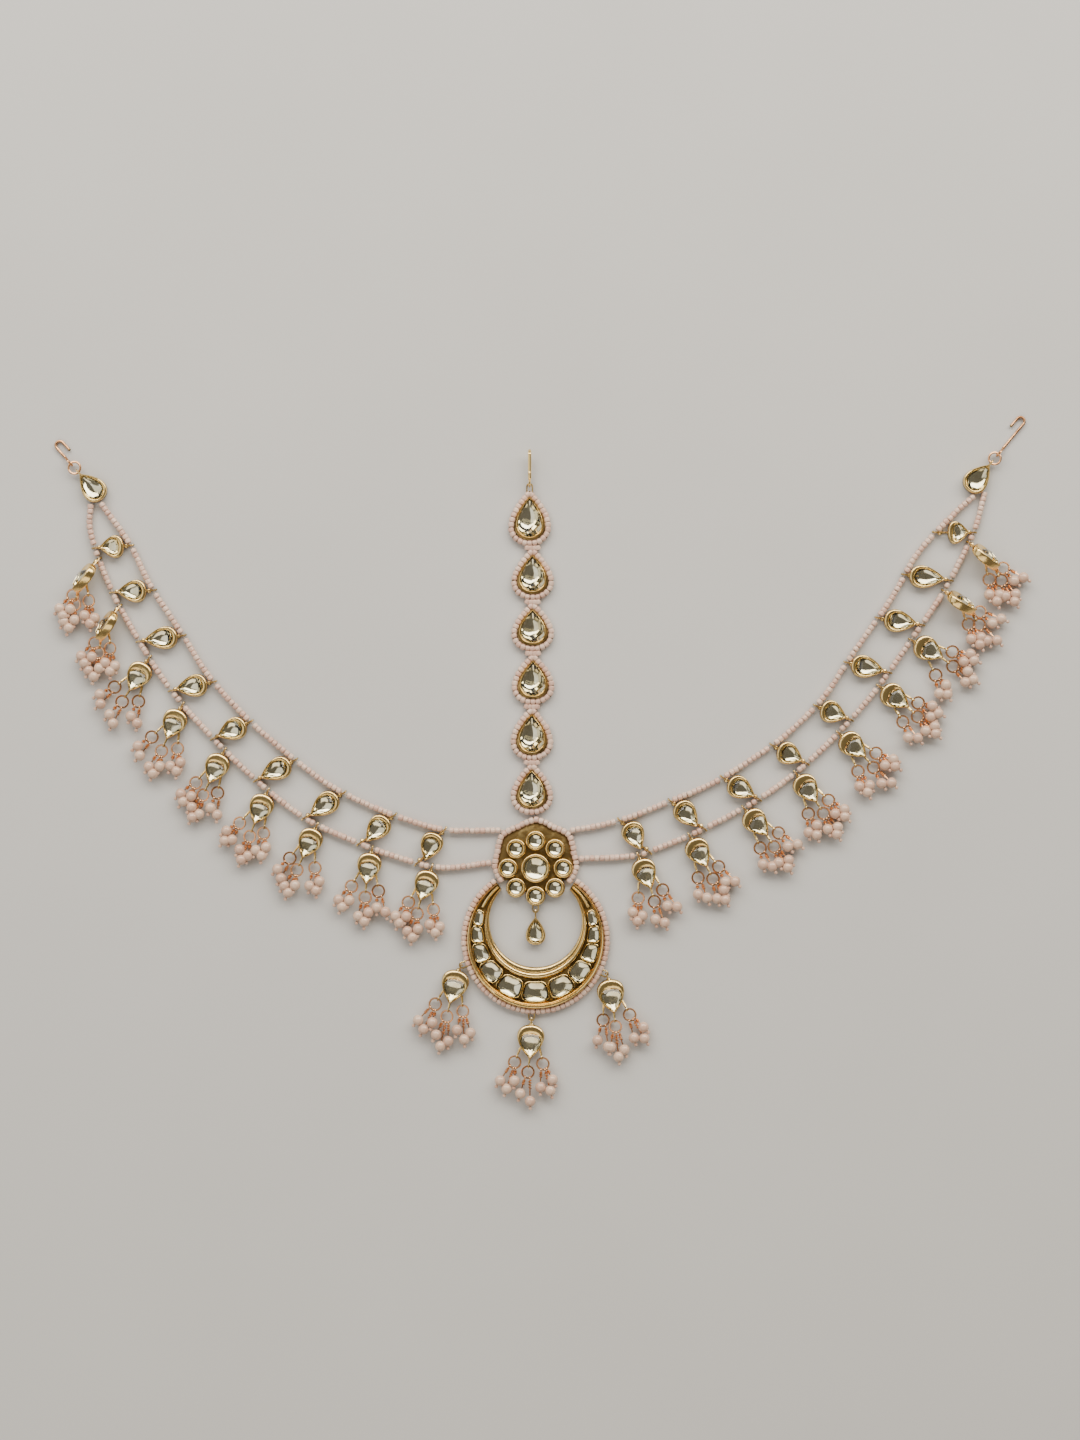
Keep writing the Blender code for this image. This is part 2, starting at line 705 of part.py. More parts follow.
# The middle

def link(name, tip, length, first):
    """A pear setting in a border of seed beads, its point towards the head hook."""
    to_hook = flat(0.0, 1.0)
    crown = crown_rows(LINK_WIDTH - 2 * BORDER_WIDTH)
    rows = border_rows() + [(inset + BORDER_WIDTH, height) for inset, height in crown]
    rings = pear_rings(length, LINK_WIDTH, LINK_POINTS, rows)
    materials = (BEADS, BEADS, BEADS, GOLD, GOLD, GLASS)
    setting = loft(rings, materials, (GOLD, GLASS))
    shapes = [placed(setting, tip - to_hook * length, to_hook)]
    if first:
        shapes.append(flat_loop(tip, to_hook))
    fuse(name, shapes)


def collet(centre, width, rise):
    """A round stone in its gold cup, set into the rosette's plate."""
    turns = (np.arange(COLLET_POINTS) + 0.5) * 2 * math.pi / COLLET_POINTS
    circle = np.column_stack((np.cos(turns), np.sin(turns), np.zeros(COLLET_POINTS)))
    inner = width / 2 - RIM_WIDTH
    rows = (
        (width / 2, PLATE_HEIGHT / 2),
        (width / 2, RIM_HEIGHT + rise),
        (inner, RIM_HEIGHT + rise),
        (inner * TABLE_SHARE, TABLE_HEIGHT + rise),
    )
    rings = [centre + circle * radius + UP * height for radius, height in rows]
    return loft(rings, (GOLD, GOLD, GLASS), (GOLD, GLASS))


def rosette():
    """A plate with a scalloped border of beads, eight round stones and a larger one."""
    half = [(math.radians(degrees), share) for degrees, share in ROSETTE_OUTLINE]
    outline = half + [(-turn, share) for turn, share in reversed(half[1:-1])]
    directions = np.array([(math.sin(turn), math.cos(turn), 0.0) for turn, _ in outline])
    shares = np.array([share for _, share in outline])[:, None]
    radii = ROSETTE_RADIUS * shares
    rings = [directions * (radii - inset) + UP * height for inset, height in border_rows()]
    shapes = [loft(rings, (BEADS, BEADS, BEADS), (GOLD, GOLD))]
    for number in range(PETAL_COUNT):
        turn = number * 2 * math.pi / PETAL_COUNT
        centre = flat(math.sin(turn), math.cos(turn)) * PETAL_CIRCLE
        shapes.append(collet(centre, PETAL_WIDTH, 0.0))
    shapes.append(collet(flat(0.0, 0.0), CENTRE_WIDTH, CENTRE_RISE))
    shapes.append(flat_loop(bearing(0.0) * ROSETTE_FOOT, bearing(0.0)))
    fuse("rosette", shapes)


def crescent_inner(turn):
    """Distance from the crescent's centre to its opening, this far from its lowest point."""
    rise = -OPENING_RISE * math.cos(turn)
    return rise + math.sqrt(OPENING_RADIUS**2 - (OPENING_RISE * math.sin(turn)) ** 2)


def crescent_point(turn, share, beads, height):
    inner = crescent_inner(turn)
    border = CRESCENT_RADIUS - beads * BORDER_WIDTH
    clear = CRESCENT_RADIUS - BORDER_WIDTH - inner
    radius = border - share * clear
    return CRESCENT_CENTRE + flat(math.sin(turn), -math.cos(turn)) * radius + UP * height


def crescent_stone(first, last):
    """A cut stone between two angles, with its corners cut and a table."""
    middle_radius = (CRESCENT_RADIUS - BORDER_WIDTH + crescent_inner((first + last) / 2)) / 2
    margin = STONE_SEPARATOR / 2 / middle_radius
    low, high = STONE_CHANNEL
    middle = ((first + last) / 2, (low + high) / 2)
    half = ((last - first) / 2 - margin, (high - low) / 2)
    cut = STONE_CORNER_SHARE
    corners = [(1, cut), (cut, 1), (-cut, 1), (-1, cut)]
    corners += [(-x, -y) for x, y in corners]
    rings = []
    for size, height in ((1.0, PLATE_HEIGHT), (TABLE_SHARE, TABLE_HEIGHT)):
        ring_points = []
        for x, y in corners:
            turn = middle[0] + half[0] * x * size
            share = middle[1] + half[1] * y * size
            ring_points.append(crescent_point(turn, share, 1.0, height))
        rings.append(np.array(ring_points))
    return loft(rings, (GLASS,), (GOLD, GLASS))


def crescent():
    """A crescent whose horns end at the rosette, with a border of beads and a row of stones."""
    to_opening = CRESCENT_DROP - OPENING_RISE
    reach = ROSETTE_RADIUS * ROSETTE_LOW_SHARE + CLEARANCE
    cosine = (to_opening**2 + OPENING_RADIUS**2 - reach**2) / (2 * to_opening * OPENING_RADIUS)
    at_opening = math.acos(cosine)
    horn = math.atan2(OPENING_RADIUS * math.sin(at_opening),
                      OPENING_RADIUS * cosine + OPENING_RISE)
    last = math.pi - horn
    rings = []
    for turn in np.linspace(-last, last, CRESCENT_SPANS + 1):
        section = [crescent_point(turn, share, beads, height)
                   for beads, share, height in CRESCENT_SECTION]
        rings.append(np.array(section))
    shapes = [loft(rings, [GOLD] * CRESCENT_SPANS)]
    edges = [math.radians(edge) for edge in CRESCENT_STONE_EDGES]
    spans = [(-edges[0], edges[0]), *zip(edges, edges[1:])]
    spans += [(-after, -before) for before, after in zip(edges, edges[1:])]
    shapes += [crescent_stone(first, after) for first, after in spans]
    for place, _ in CRESCENT_DROPS.values():
        outward = bearing(place)
        shapes.append(flat_loop(CRESCENT_CENTRE + outward * CRESCENT_RADIUS, outward))
    fuse("crescent", shapes)


def crescent_drops():
    sizes = (CRESCENT_DROP_LENGTH, CRESCENT_DROP_WIDTH, CRESCENT_BUNCH_LENGTH, CRESCENT_BUNCH_WIDTH)
    for name, (place, direction) in CRESCENT_DROPS.items():
        outward = bearing(place)
        hold = CRESCENT_CENTRE + outward * (CRESCENT_RADIUS + LOOP_REACH) + UP * LOOP_HEIGHT
        heading = bearing(direction)
        hanging_drop(name, hold, heading, heading, outward, sizes, on_crescent=True)


def inner_drop():
    down = bearing(0.0)
    hold = down * (ROSETTE_FOOT + LOOP_REACH)
    tip = hold + down * STRING_ROOM
    setting = placed(pear_setting(INNER_DROP_LENGTH, INNER_DROP_WIDTH),
                     tip + down * INNER_DROP_LENGTH, -down)
    seat = tip + down * 2 * SOLDER_DEPTH + UP * RIM_HEIGHT / 2
    fuse("inner_drop", [setting, upright_eye(hold + UP * LOOP_HEIGHT, down, seat)])


def middle_chain():
    """The six links, each tip close to the round end above it, and the head hook."""
    up = flat(0.0, 1.0)
    reached = ROSETTE_RADIUS * ROSETTE_TOP_SHARE
    for number in range(len(LINK_LENGTHS), 0, -1):
        length = LINK_LENGTHS[number - 1]
        reached += CLEARANCE + length
        tip = flat(LINK_SHIFTS[number - 1], reached)
        link(f"link_{number}", tip, length, number == 1)
    head_hook(tip + up * LOOP_REACH)


def head_hook(bar):
    """A bent wire whose eye holds the first link's loop and whose bend stands up."""
    up = flat(0.0, 1.0)
    middle, eye = hook_eye(bar, up)
    turn_middle = middle + up * (HEAD_HOOK_LENGTH - HEAD_HOOK_BEND) + UP * HEAD_HOOK_BEND
    path = [middle + up * (HOOK_EYE_WIDTH - RING_WIRE) / 2]
    for step in range(BEND_STEPS + 1):
        turn = math.pi * step / BEND_STEPS
        path.append(turn_middle + (up * math.sin(turn) - UP * math.cos(turn)) * HEAD_HOOK_BEND)
    path.append(path[-1] - up * HEAD_HOOK_RETURN)
    fuse("head_hook", [wire(path, HEAD_HOOK_WIRE), eye], smooth=True)


def centre_jewel():
    """Move the jewel so that the middle of its box's bottom is the origin."""
    bpy.context.view_layer.update()
    graph = bpy.context.evaluated_depsgraph_get()
    points = []
    for piece in JEWEL.children:
        mesh = piece.evaluated_get(graph).to_mesh()
        points += [vertex.co[:] for vertex in mesh.vertices]
    lowest = np.min(points, axis=0)
    highest = np.max(points, axis=0)
    middle = (lowest + highest) / 2
    JEWEL.location = (-middle[0], -middle[1], -lowest[2])


clear_scene()
MATERIALS = (
    make_material("antique_gold", (0.62, 0.42, 0.16), 1.0, 0.35),
    make_material("foiled_glass", (0.75, 0.76, 0.66), 0.1, 0.08),
    make_material("ivory_beads", (0.80, 0.70, 0.62), 0.0, 0.35),
)
JEWEL = bpy.data.objects.new("jewel", None)
bpy.context.scene.collection.objects.link(JEWEL)
CRESCENT_CENTRE = flat(0.0, -CRESCENT_DROP)

middle_chain()
rosette()
crescent()
crescent_drops()
inner_drop()
for ladder_side, ladder_rows in LADDERS.items():
    ladder(ladder_side, ladder_rows)

centre_jewel()
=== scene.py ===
# %% [markdown]
# # A matha patti laid flat on a table
# This jewel lies along the parting of the hair and over the forehead. A chain of pear stones
# ends in a rosette and a crescent, and each side is a ladder of two bead strings with stones
# between them and pearl drops below. The solids are loaded first, and every piece below is
# worked out in their frame, so it lands where its solid lies.

import math

import bmesh
import bpy
import numpy as np
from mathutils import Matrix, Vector


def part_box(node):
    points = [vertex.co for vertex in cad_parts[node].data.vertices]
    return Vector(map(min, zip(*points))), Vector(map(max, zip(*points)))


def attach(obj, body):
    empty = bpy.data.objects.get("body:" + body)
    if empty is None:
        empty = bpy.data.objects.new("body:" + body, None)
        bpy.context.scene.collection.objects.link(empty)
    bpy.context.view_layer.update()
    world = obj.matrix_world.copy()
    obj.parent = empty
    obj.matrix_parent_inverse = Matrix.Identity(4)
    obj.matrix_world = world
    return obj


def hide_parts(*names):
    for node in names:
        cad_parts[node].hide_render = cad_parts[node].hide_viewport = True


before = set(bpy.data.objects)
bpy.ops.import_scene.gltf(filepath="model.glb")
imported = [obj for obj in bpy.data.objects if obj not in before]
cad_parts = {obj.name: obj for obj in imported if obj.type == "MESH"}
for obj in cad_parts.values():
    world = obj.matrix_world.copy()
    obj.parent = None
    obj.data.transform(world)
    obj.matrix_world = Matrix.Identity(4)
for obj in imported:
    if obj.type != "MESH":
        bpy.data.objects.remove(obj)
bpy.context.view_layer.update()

# %% [markdown]
# ## Where the jewel's middle is
# The rosette's top and its two sides are known from its solid. The routes and stations below
# are measured from the rosette's centre, so that point is found once. Lengths are in metres.

# %% The rosette's centre
MM = 0.001
ROSETTE_RADIUS = 13.2 * MM
ROSETTE_TOP_SHARE = 1.06
ROSETTE_LOW_SHARE = 0.80
rosette_low, rosette_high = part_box("rosette")
MIDDLE = np.array(((rosette_low.x + rosette_high.x) / 2,
                   rosette_high.y - ROSETTE_RADIUS * ROSETTE_TOP_SHARE, 0.0))
UP = np.array((0.0, 0.0, 1.0))
CHANCE = np.random.default_rng(11)  # a fixed seed, so that each run gives the same jewel
print("rosette's centre:", MIDDLE)

# %% [markdown]
# ## Skins
# Each piece is made of skins: arrays of points, faces, a finish for each face and a tone for
# each point. A skin can be copied to many places at once, which is how rows of beads are laid.
# Working on whole arrays keeps thousands of beads quick.

# %% Skin: points, faces and finishes
GOLD, COPPER, FOIL, GLASS, BEAD, PEARL, THREAD = range(7)


class Skin:
    """Points (n, 3), groups of faces with as many corners each, and a finish for each face."""

    def __init__(self, points, faces, finishes, smooth=True, tone=0.5):
        self.points = np.asarray(points, float).reshape(-1, 3)
        self.faces = [np.asarray(group, int) for group in faces]
        self.finishes = [np.broadcast_to(f, len(g)) for f, g in zip(finishes, self.faces)]
        self.smooth = smooth
        self.tones = np.broadcast_to(tone, len(self.points))

    def placed(self, origins, axes, tones=None):
        """Copies: each point is its origin plus its three lengths along that copy's axes."""
        origins = np.reshape(origins, (-1, 3))
        axes = np.reshape(axes, (-1, 3, 3))
        points = origins[:, None] + np.einsum("nj,kji->kni", self.points, axes)
        shift = np.arange(len(origins))[:, None, None] * len(self.points)
        faces = [(group[None] + shift).reshape(-1, group.shape[1]) for group in self.faces]
        finishes = [np.tile(finish, len(origins)) for finish in self.finishes]
        copied = Skin(points, faces, finishes, self.smooth)
        own = np.zeros(len(origins)) if tones is None else np.asarray(tones, float)
        copied.tones = (own[:, None] + self.tones[None]).ravel()
        return copied


def skin_of_grid(grid, finish, closed=(False, True), ends=(None, None), tone=0.5):
    """A skin over a grid of points: a quad joins each point, the next, and the two above.

    finish is one number or one for each row of quads; ends gives the finish of each flat end.
    """
    rows, columns = grid.shape[:2]
    number = np.arange(rows * columns).reshape(rows, columns)
    across = np.column_stack((number, number[:, :1])) if closed[1] else number
    whole = np.vstack((across, across[:1])) if closed[0] else across
    quads = np.stack((whole[:-1, :-1], whole[:-1, 1:], whole[1:, 1:], whole[1:, :-1]), axis=-1)
    row_finish = np.broadcast_to(finish, quads.shape[0])
    faces = [quads.reshape(-1, 4)]
    finishes = [np.repeat(row_finish, quads.shape[1])]
    for end, row in zip(ends, (number[0][::-1], number[-1])):
        if end is not None:
            faces.append(row[None])
            finishes.append([end])
    return Skin(grid, faces, finishes, tone=tone)


print("finishes:", "gold, copper, foil, glass, bead, pearl, thread")

# %% [markdown]
# ## Finishes
# The gold is antique: bright where it is rubbed, brown in stains, and darker the lower it lies,
# which is partly patina in recesses and partly painted shade near the table and between parts.
# Writing the shader's sums as Python expressions keeps them readable, so a small class wraps a
# socket and adds a Math node for each sum.

# %% A field and a finish
class Field:
    """A value that changes over a surface, held as the socket that gives it."""

    def __init__(self, tree, socket):
        self.tree = tree
        self.socket = socket

    def sum(self, operation, first, second):
        node = self.tree.nodes.new("ShaderNodeMath")
        node.operation = operation
        for entry, value in zip(node.inputs, (first, second)):
            if isinstance(value, Field):
                self.tree.links.new(value.socket, entry)
            else:
                entry.default_value = value
        return Field(self.tree, node.outputs[0])

    def __add__(self, other):
        return self.sum("ADD", self, other)

    def __radd__(self, other):
        return self.sum("ADD", other, self)

    def __sub__(self, other):
        return self.sum("SUBTRACT", self, other)

    def __rsub__(self, other):
        return self.sum("SUBTRACT", other, self)

    def __mul__(self, other):
        return self.sum("MULTIPLY", self, other)

    def __rmul__(self, other):
        return self.sum("MULTIPLY", other, self)

    def kept(self):
        """The value held between 0 and 1."""
        held = self.sum("ADD", self, 0.0)
        held.socket.node.use_clamp = True
        return held


class Finish:
    """A material whose nodes are made from Python expressions."""

    def __init__(self, name, **constants):
        self.material = bpy.data.materials.new(name)
        self.material.use_nodes = True
        self.tree = self.material.node_tree
        self.shader = self.tree.nodes["Principled BSDF"]
        for key, value in constants.items():
            self.entry(key).default_value = value
        self.place = self.node("ShaderNodeTexCoord", output="Object")

    def entry(self, key):
        """The shader's socket of this name, such as base_color for its Base Color."""
        return self.shader.inputs[key.replace("_", " ").title().replace("Ior", "IOR")]

    def node(self, kind, settings=None, inputs=None, output=0):
        """Any node: its type, its settings first, then the values or links of its sockets."""
        node = self.tree.nodes.new(kind)
        for key, value in (settings or {}).items():
            setattr(node, key, value)
        for key, value in (inputs or {}).items():
            if isinstance(value, Field):
                self.tree.links.new(value.socket, node.inputs[key])
            else:
                node.inputs[key].default_value = value
        return Field(self.tree, node.outputs[output])

    def noise(self, per_metre, detail=2.0):
        """Cloudy values from 0 to 1, this many clouds to a metre."""
        inputs = {"Vector": self.place, "Scale": per_metre, "Detail": detail}
        return self.node("ShaderNodeTexNoise", inputs=inputs, output="Fac")

    def height(self):
        """Height above the table, in millimetres."""
        metres = self.node("ShaderNodeSeparateXYZ", inputs={"Vector": self.place}, output="Z")
        return metres * (1 / MM)

    def mix(self, share, first, second):
        """A colour between two: share 0 gives the first and 1 the second."""
        inputs = {"Factor": share, 6: first, 7: second}
        return self.node("ShaderNodeMix", {"data_type": "RGBA"}, inputs, output=2)

    def feed(self, **fields):
        for key, field in fields.items():
            self.tree.links.new(field.socket, self.entry(key))

    def bump(self, height, strength, distance):
        inputs = {"Height": height, "Strength": strength, "Distance": distance}
        self.feed(normal=self.node("ShaderNodeBump", inputs=inputs, output="Normal"))


# %% [markdown]
# ## The two metals
# The settings are plated in yellow gold that has gone brown where a cloth never reaches; the
# rings and wires are redder. Height above the table stands for how much a part is rubbed, and
# the darkening low down is also painted shade near the table and between parts.

# %% Antique gold and copper gold
# The darkening low down is partly patina in recesses and partly painted shade near the table
LOW_PATINA_AND_SHADE_FADE = 0.42
CLOUD_CONTRAST = 2.4
RUBBED_SHARE = 0.3


def metal(name, bright, dark, roughness, stain_and_shade_weight, depth):
    """Bright metal under brown: stain clouds, and a share that fades with height, which is
    partly patina in recesses and partly painted shade near the table and between parts.
    """
    finish = Finish(name, metallic=1.0)
    clouds = finish.noise(per_metre=420.0, detail=3.0)
    fine = finish.noise(per_metre=2600.0, detail=3.0)
    # Painted shade and patina: the lower a part lies, the darker it is painted
    low_patina_and_shade = (1.0 - finish.height() * LOW_PATINA_AND_SHADE_FADE).kept()
    stain_and_shade = ((clouds - 0.5) * CLOUD_CONTRAST + low_patina_and_shade * depth - RUBBED_SHARE).kept() * stain_and_shade_weight
    finish.feed(
        base_color=finish.mix(stain_and_shade, (*bright, 1.0), (*dark, 1.0)),
        roughness=(roughness + stain_and_shade * 0.28 + (fine - 0.5) * 0.22).kept(),
    )
    finish.bump(fine + clouds * 0.6, strength=0.22, distance=0.12 * MM)
    return finish.material


# depth weighs the darkening low down, partly patina and partly painted shade
gold = metal("antique_gold", bright=(0.93, 0.67, 0.27), dark=(0.15, 0.092, 0.03),
             roughness=0.2, stain_and_shade_weight=0.94, depth=1.9)
copper = metal("copper_gold_wire", bright=(0.80, 0.44, 0.22), dark=(0.20, 0.075, 0.03),
               roughness=0.24, stain_and_shade_weight=0.85, depth=1.1)
print("metals:", gold.name, copper.name)

# %% [markdown]
# ## Glass over foil
# The stones are clear cut glass laid over bright foil. The foil is a slightly crumpled metal
# leaf and the stone a real body of glass, so the dark table and the bright lower facets come
# from the light itself and not from paint.

# %% Foil and cut glass
def foil_leaf():
    """Mirror-bright leaf with fine creases and a few duller spots."""
    finish = Finish("bright_foil", metallic=1.0)
    creases = finish.noise(per_metre=900.0, detail=3.0)
    spots = (finish.noise(per_metre=260.0) * 3.0 - 1.2).kept()
    finish.feed(
        base_color=finish.mix(spots * 0.6, (0.97, 0.92, 0.74, 1.0), (0.66, 0.55, 0.31, 1.0)),
        roughness=(0.03 + creases * 0.1).kept(),
    )
    finish.bump(creases, strength=0.12, distance=0.06 * MM)
    return finish.material


def cut_glass():
    """Clear glass, faintly yellow in places, with a polish that is a little uneven."""
    finish = Finish("cut_glass", transmission_weight=1.0, ior=1.52)
    clouds = finish.noise(per_metre=300.0)
    finish.feed(
        base_color=finish.mix(clouds, (0.98, 0.98, 0.92, 1.0), (0.91, 0.91, 0.80, 1.0)),
        roughness=(finish.noise(per_metre=1800.0, detail=3.0) * 0.05 - 0.015).kept(),
    )
    return finish.material


foil = foil_leaf()
glass = cut_glass()
print("stones:", foil.name, glass.name)

# %% [markdown]
# ## Beads, pearls and thread
# Seed beads and pearls differ a little from one to the next. Each carries a tone of its own,
# which its finish reads to move between a pinkish and a creamier ivory.

# %% Ivory finishes
def ivory(name, pale, pink, roughness, **constants):
    """A colour between pale and pink by each bead's own tone, a little cloudy."""
    finish = Finish(name, **constants)
    tone = finish.node("ShaderNodeAttribute", {"attribute_name": "tone"}, output="Fac")
    clouds = finish.noise(per_metre=1100.0)
    share = (tone + (clouds - 0.5) * 0.7).kept()
    finish.feed(
        base_color=finish.mix(share, (*pale, 1.0), (*pink, 1.0)),
        roughness=(roughness + (clouds - 0.5) * 0.2).kept(),
    )
    finish.bump(finish.noise(per_metre=3200.0), strength=0.08, distance=0.05 * MM)
    return finish.material


bead = ivory("ivory_seed_bead", pale=(0.79, 0.58, 0.46), pink=(0.68, 0.42, 0.32),
             roughness=0.34, coat_weight=0.35, coat_roughness=0.12)
pearl = ivory("ivory_pearl", pale=(0.74, 0.52, 0.38), pink=(0.62, 0.38, 0.27),
              roughness=0.24, coat_weight=0.7, coat_roughness=0.1)
thread = ivory("ivory_thread", pale=(0.72, 0.62, 0.52), pink=(0.52, 0.40, 0.33), roughness=0.8)
FINISHES = (gold, copper, foil, glass, bead, pearl, thread)
print("finishes made:", [finish.name for finish in FINISHES])

# %% [markdown]
# ## From skins to a piece
# A piece joins its skins into one mesh. Its faces are turned outwards, edges sharper than a
# given angle stay crisp, and it stands for the solid of the same name.

# %% Build a piece
CRISP_ANGLE = math.radians(38.0)


def piece(name, skins):
    """One mesh: points one after another, with each skin's face numbers moved along."""
    counts = np.cumsum([0] + [len(skin.points) for skin in skins])
    groups, finishes, smooth = [], [], []
    for skin, start in zip(skins, counts):
        for group, finish in zip(skin.faces, skin.finishes):
            groups.append(group + start)
            finishes.append(finish)
            smooth.append(np.full(len(group), skin.smooth))
    corners = np.concatenate([group.ravel() for group in groups])
    sides = np.concatenate([np.full(len(group), group.shape[1]) for group in groups])
    mesh = bpy.data.meshes.new(name)
    mesh.vertices.add(counts[-1])
    mesh.vertices.foreach_set("co", np.concatenate([skin.points for skin in skins]).ravel())
    mesh.loops.add(len(corners))
    mesh.loops.foreach_set("vertex_index", corners)
    mesh.polygons.add(len(sides))
    mesh.polygons.foreach_set("loop_start", np.cumsum(sides) - sides)
    used, numbers = np.unique(np.concatenate(finishes), return_inverse=True)
    for finish in used:
        mesh.materials.append(FINISHES[finish])
    mesh.polygons.foreach_set("material_index", numbers)
    mesh.polygons.foreach_set("use_smooth", np.concatenate(smooth))
    mesh.update(calc_edges=True)
    tones = mesh.attributes.new("tone", "FLOAT", "POINT")
    tones.data.foreach_set("value", np.concatenate([skin.tones for skin in skins]))
    shell = bmesh.new()
    shell.from_mesh(mesh)
    bmesh.ops.recalc_face_normals(shell, faces=shell.faces)
    shell.to_mesh(mesh)
    shell.free()
    mesh.set_sharp_from_angle(angle=CRISP_ANGLE)
    obj = bpy.data.objects.new(f"dressed_{name}", mesh)
    bpy.context.scene.collection.objects.link(obj)
    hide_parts(name)
    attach(obj, "root")


# %% [markdown]
# ## Directions
# A place on the jewel is an origin and three axes: along, to the left and up. Most pieces lie
# flat, so one direction on the table is enough; a rolled drop turns about its own length.

# %% Axes and directions
def unit(vectors):
    return vectors / np.linalg.norm(vectors, axis=-1, keepdims=True)


def flat(x, y):
    """A point or direction on the table."""
    return np.array((x, y, 0.0))


def bearing(degrees):
    """The direction this many degrees from straight down the picture, towards +X."""
    turn = math.radians(degrees)
    return flat(math.sin(turn), -math.cos(turn))


def left_of(direction):
    return flat(-direction[1], direction[0])


def axes_of(heading, roll=0.0):
    """Along, left and up for a heading on the table, rolled about it by these degrees."""
    turn = math.radians(roll)
    left = left_of(heading)
    rolled_left = left * math.cos(turn) + UP * math.sin(turn)
    rolled_up = UP * math.cos(turn) - left * math.sin(turn)
    return np.array((heading, rolled_left, rolled_up))


PLAIN_AXES = np.eye(3)

# %% [markdown]
# ## Wires
# Rings, eyes and hooks are round wire. A circle is carried along the path, held square to it
# by one direction that the path never follows, which is enough for a path that stays flat.

# %% Wire along a path
def wire(path, width, square, sides=8, closed=False, finish=GOLD):
    """Circles at each point of a path: a cosine share of the direction square to the path and
    to the one given, and a sine share of the direction square to both."""
    path = np.asarray(path, float)
    if closed:
        tangents = unit(np.roll(path, -1, axis=0) - np.roll(path, 1, axis=0))
    else:
        tangents = unit(np.gradient(path, axis=0))
    first = unit(np.cross(tangents, square))
    second = np.cross(first, tangents)
    turns = (np.arange(sides) * 2 * math.pi / sides)[None, :, None]
    circle = np.cos(turns) * first[:, None] + np.sin(turns) * second[:, None]
    ends = (None, None) if closed else (finish, finish)
    return skin_of_grid(path[:, None] + circle * width / 2, finish, (closed, True), ends)


def circle_path(centre, first, second, radius, count, end=2 * math.pi):
    """Points round a circle: the centre plus cosine and sine shares of two directions."""
    turns = np.linspace(0.0, end, count, endpoint=end < 2 * math.pi)[:, None]
    return centre + radius * (np.cos(turns) * first + np.sin(turns) * second)


def eased(points, steps=5):
    """A smooth line through the points: each span blends four neighbours by cubic weights."""
    ends = np.vstack((2 * points[0] - points[1], points, 2 * points[-1] - points[-2]))
    a, b, c, d = (ends[i:len(ends) - 3 + i, None] for i in range(4))
    t = (np.arange(steps) / steps)[None, :, None]
    line = 0.5 * (2 * b + (c - a) * t + (2 * a - 5 * b + 4 * c - d) * t**2
                  + (3 * b - a - 3 * c + d) * t**3)
    return np.vstack((line.reshape(-1, 3), points[-1:]))


def turned(along, out, sides):
    """A profile turned round the X axis: where its circles lie, and their radii."""
    turns = np.arange(sides) * 2 * math.pi / sides
    return np.stack((np.outer(along, np.ones(sides)), np.outer(out, np.cos(turns)),
                     np.outer(out, np.sin(turns))), axis=-1)


POLE_ANGLE = 0.12


def ball(centre, width, finish=GOLD, around=8, rows=6, tone=0.5):
    """A ball: circles whose radius is the sine of the angle from its pole. The first lies just
    off the pole, and a small flat end closes it."""
    angle = np.linspace(POLE_ANGLE, math.pi - POLE_ANGLE, rows)
    rings = turned(np.cos(angle), np.sin(angle), around)
    return skin_of_grid(centre + rings * width / 2, finish, ends=(finish, finish), tone=tone)


# %% [markdown]
# ## Cut stones in their cups
# A cup is lofted from rows of inset and height, taken round the stone's outline. A stone is one
# closed body: its lower facets carry the foil, seen through the glass of the upper ones, as
# foil pressed on the back of a real stone is. Its rings are each turned by half a step, so
# their joining triangles are its facets.

# %% Outlines of a pear and a circle
# The highest value of the sine of a turn times the sine of half the turn
PEAR_PEAK = 0.7698


def pear_line(length, width, cap=0.0):
    """An outline of a pear from its round end at 0: half its width times the sine of a turn
    times the sine of half the turn, over the highest such value. A cap makes the inset at the
    round end larger by that share, which leaves a broad gold shoulder there."""
    def line(inset, count, shift=0.0):
        turn = (np.arange(count) + shift) * 2 * math.pi / count
        shoulder = inset * (1 + cap)
        along = shoulder + (length - inset - shoulder) / 2 * (1 + np.cos(turn))
        left = (width - 2 * inset) / 2 * np.sin(turn) * np.sin(turn / 2) / PEAR_PEAK
        return np.stack((along, left), axis=1)
    return line


def round_line(width):
    """An outline of a circle about 0: the radius less the inset, at even turns."""
    def line(inset, count, shift=0.0):
        turn = (np.arange(count) + shift) * 2 * math.pi / count
        radius = width / 2 - inset
        return np.stack((radius * np.cos(turn), radius * np.sin(turn)), axis=1)
    return line


# %% Cups and stones
RIM_HEIGHT = 2.3 * MM
RIM_WIDTH = 0.75 * MM
TABLE_HEIGHT = 3.0 * MM
CUP_POINTS = 40

# The cup's wall and lip from the back to the foil floor, in millimetres
CUP_SECTION = (
    # inset, height
    (0.23, 0.00), (0.10, 0.10), (0.03, 0.40), (0.00, 0.80), (0.01, 1.60), (0.05, 1.98),
    (0.14, 2.18), (0.30, 2.30), (0.50, 2.31), (0.70, 2.23), (0.86, 2.08), (0.94, 1.94),
)

# A cup with a ledge outside its thin lip, as the links have
LEDGE_SECTION = (
    # inset, height
    (0.23, 0.00), (0.10, 0.10), (0.03, 0.40), (0.00, 1.00), (0.05, 1.18), (0.16, 1.24),
    (0.42, 1.20), (0.50, 1.28), (0.52, 2.10), (0.57, 2.26), (0.68, 2.32), (0.80, 2.24),
    (0.90, 2.06), (0.94, 1.94),
)


def rows_of(line, rows, count):
    """A grid of rings, one for each row of inset and height, in metres."""
    return np.array([np.column_stack((line(inset, count), np.full(count, height)))
                     for inset, height in rows])


FLOOR_HEIGHT = 1.15 * MM
FLOOR_STEP = 0.06 * MM
FLOOR_SHARE = 0.86
FOOT_HEIGHT = 0.5


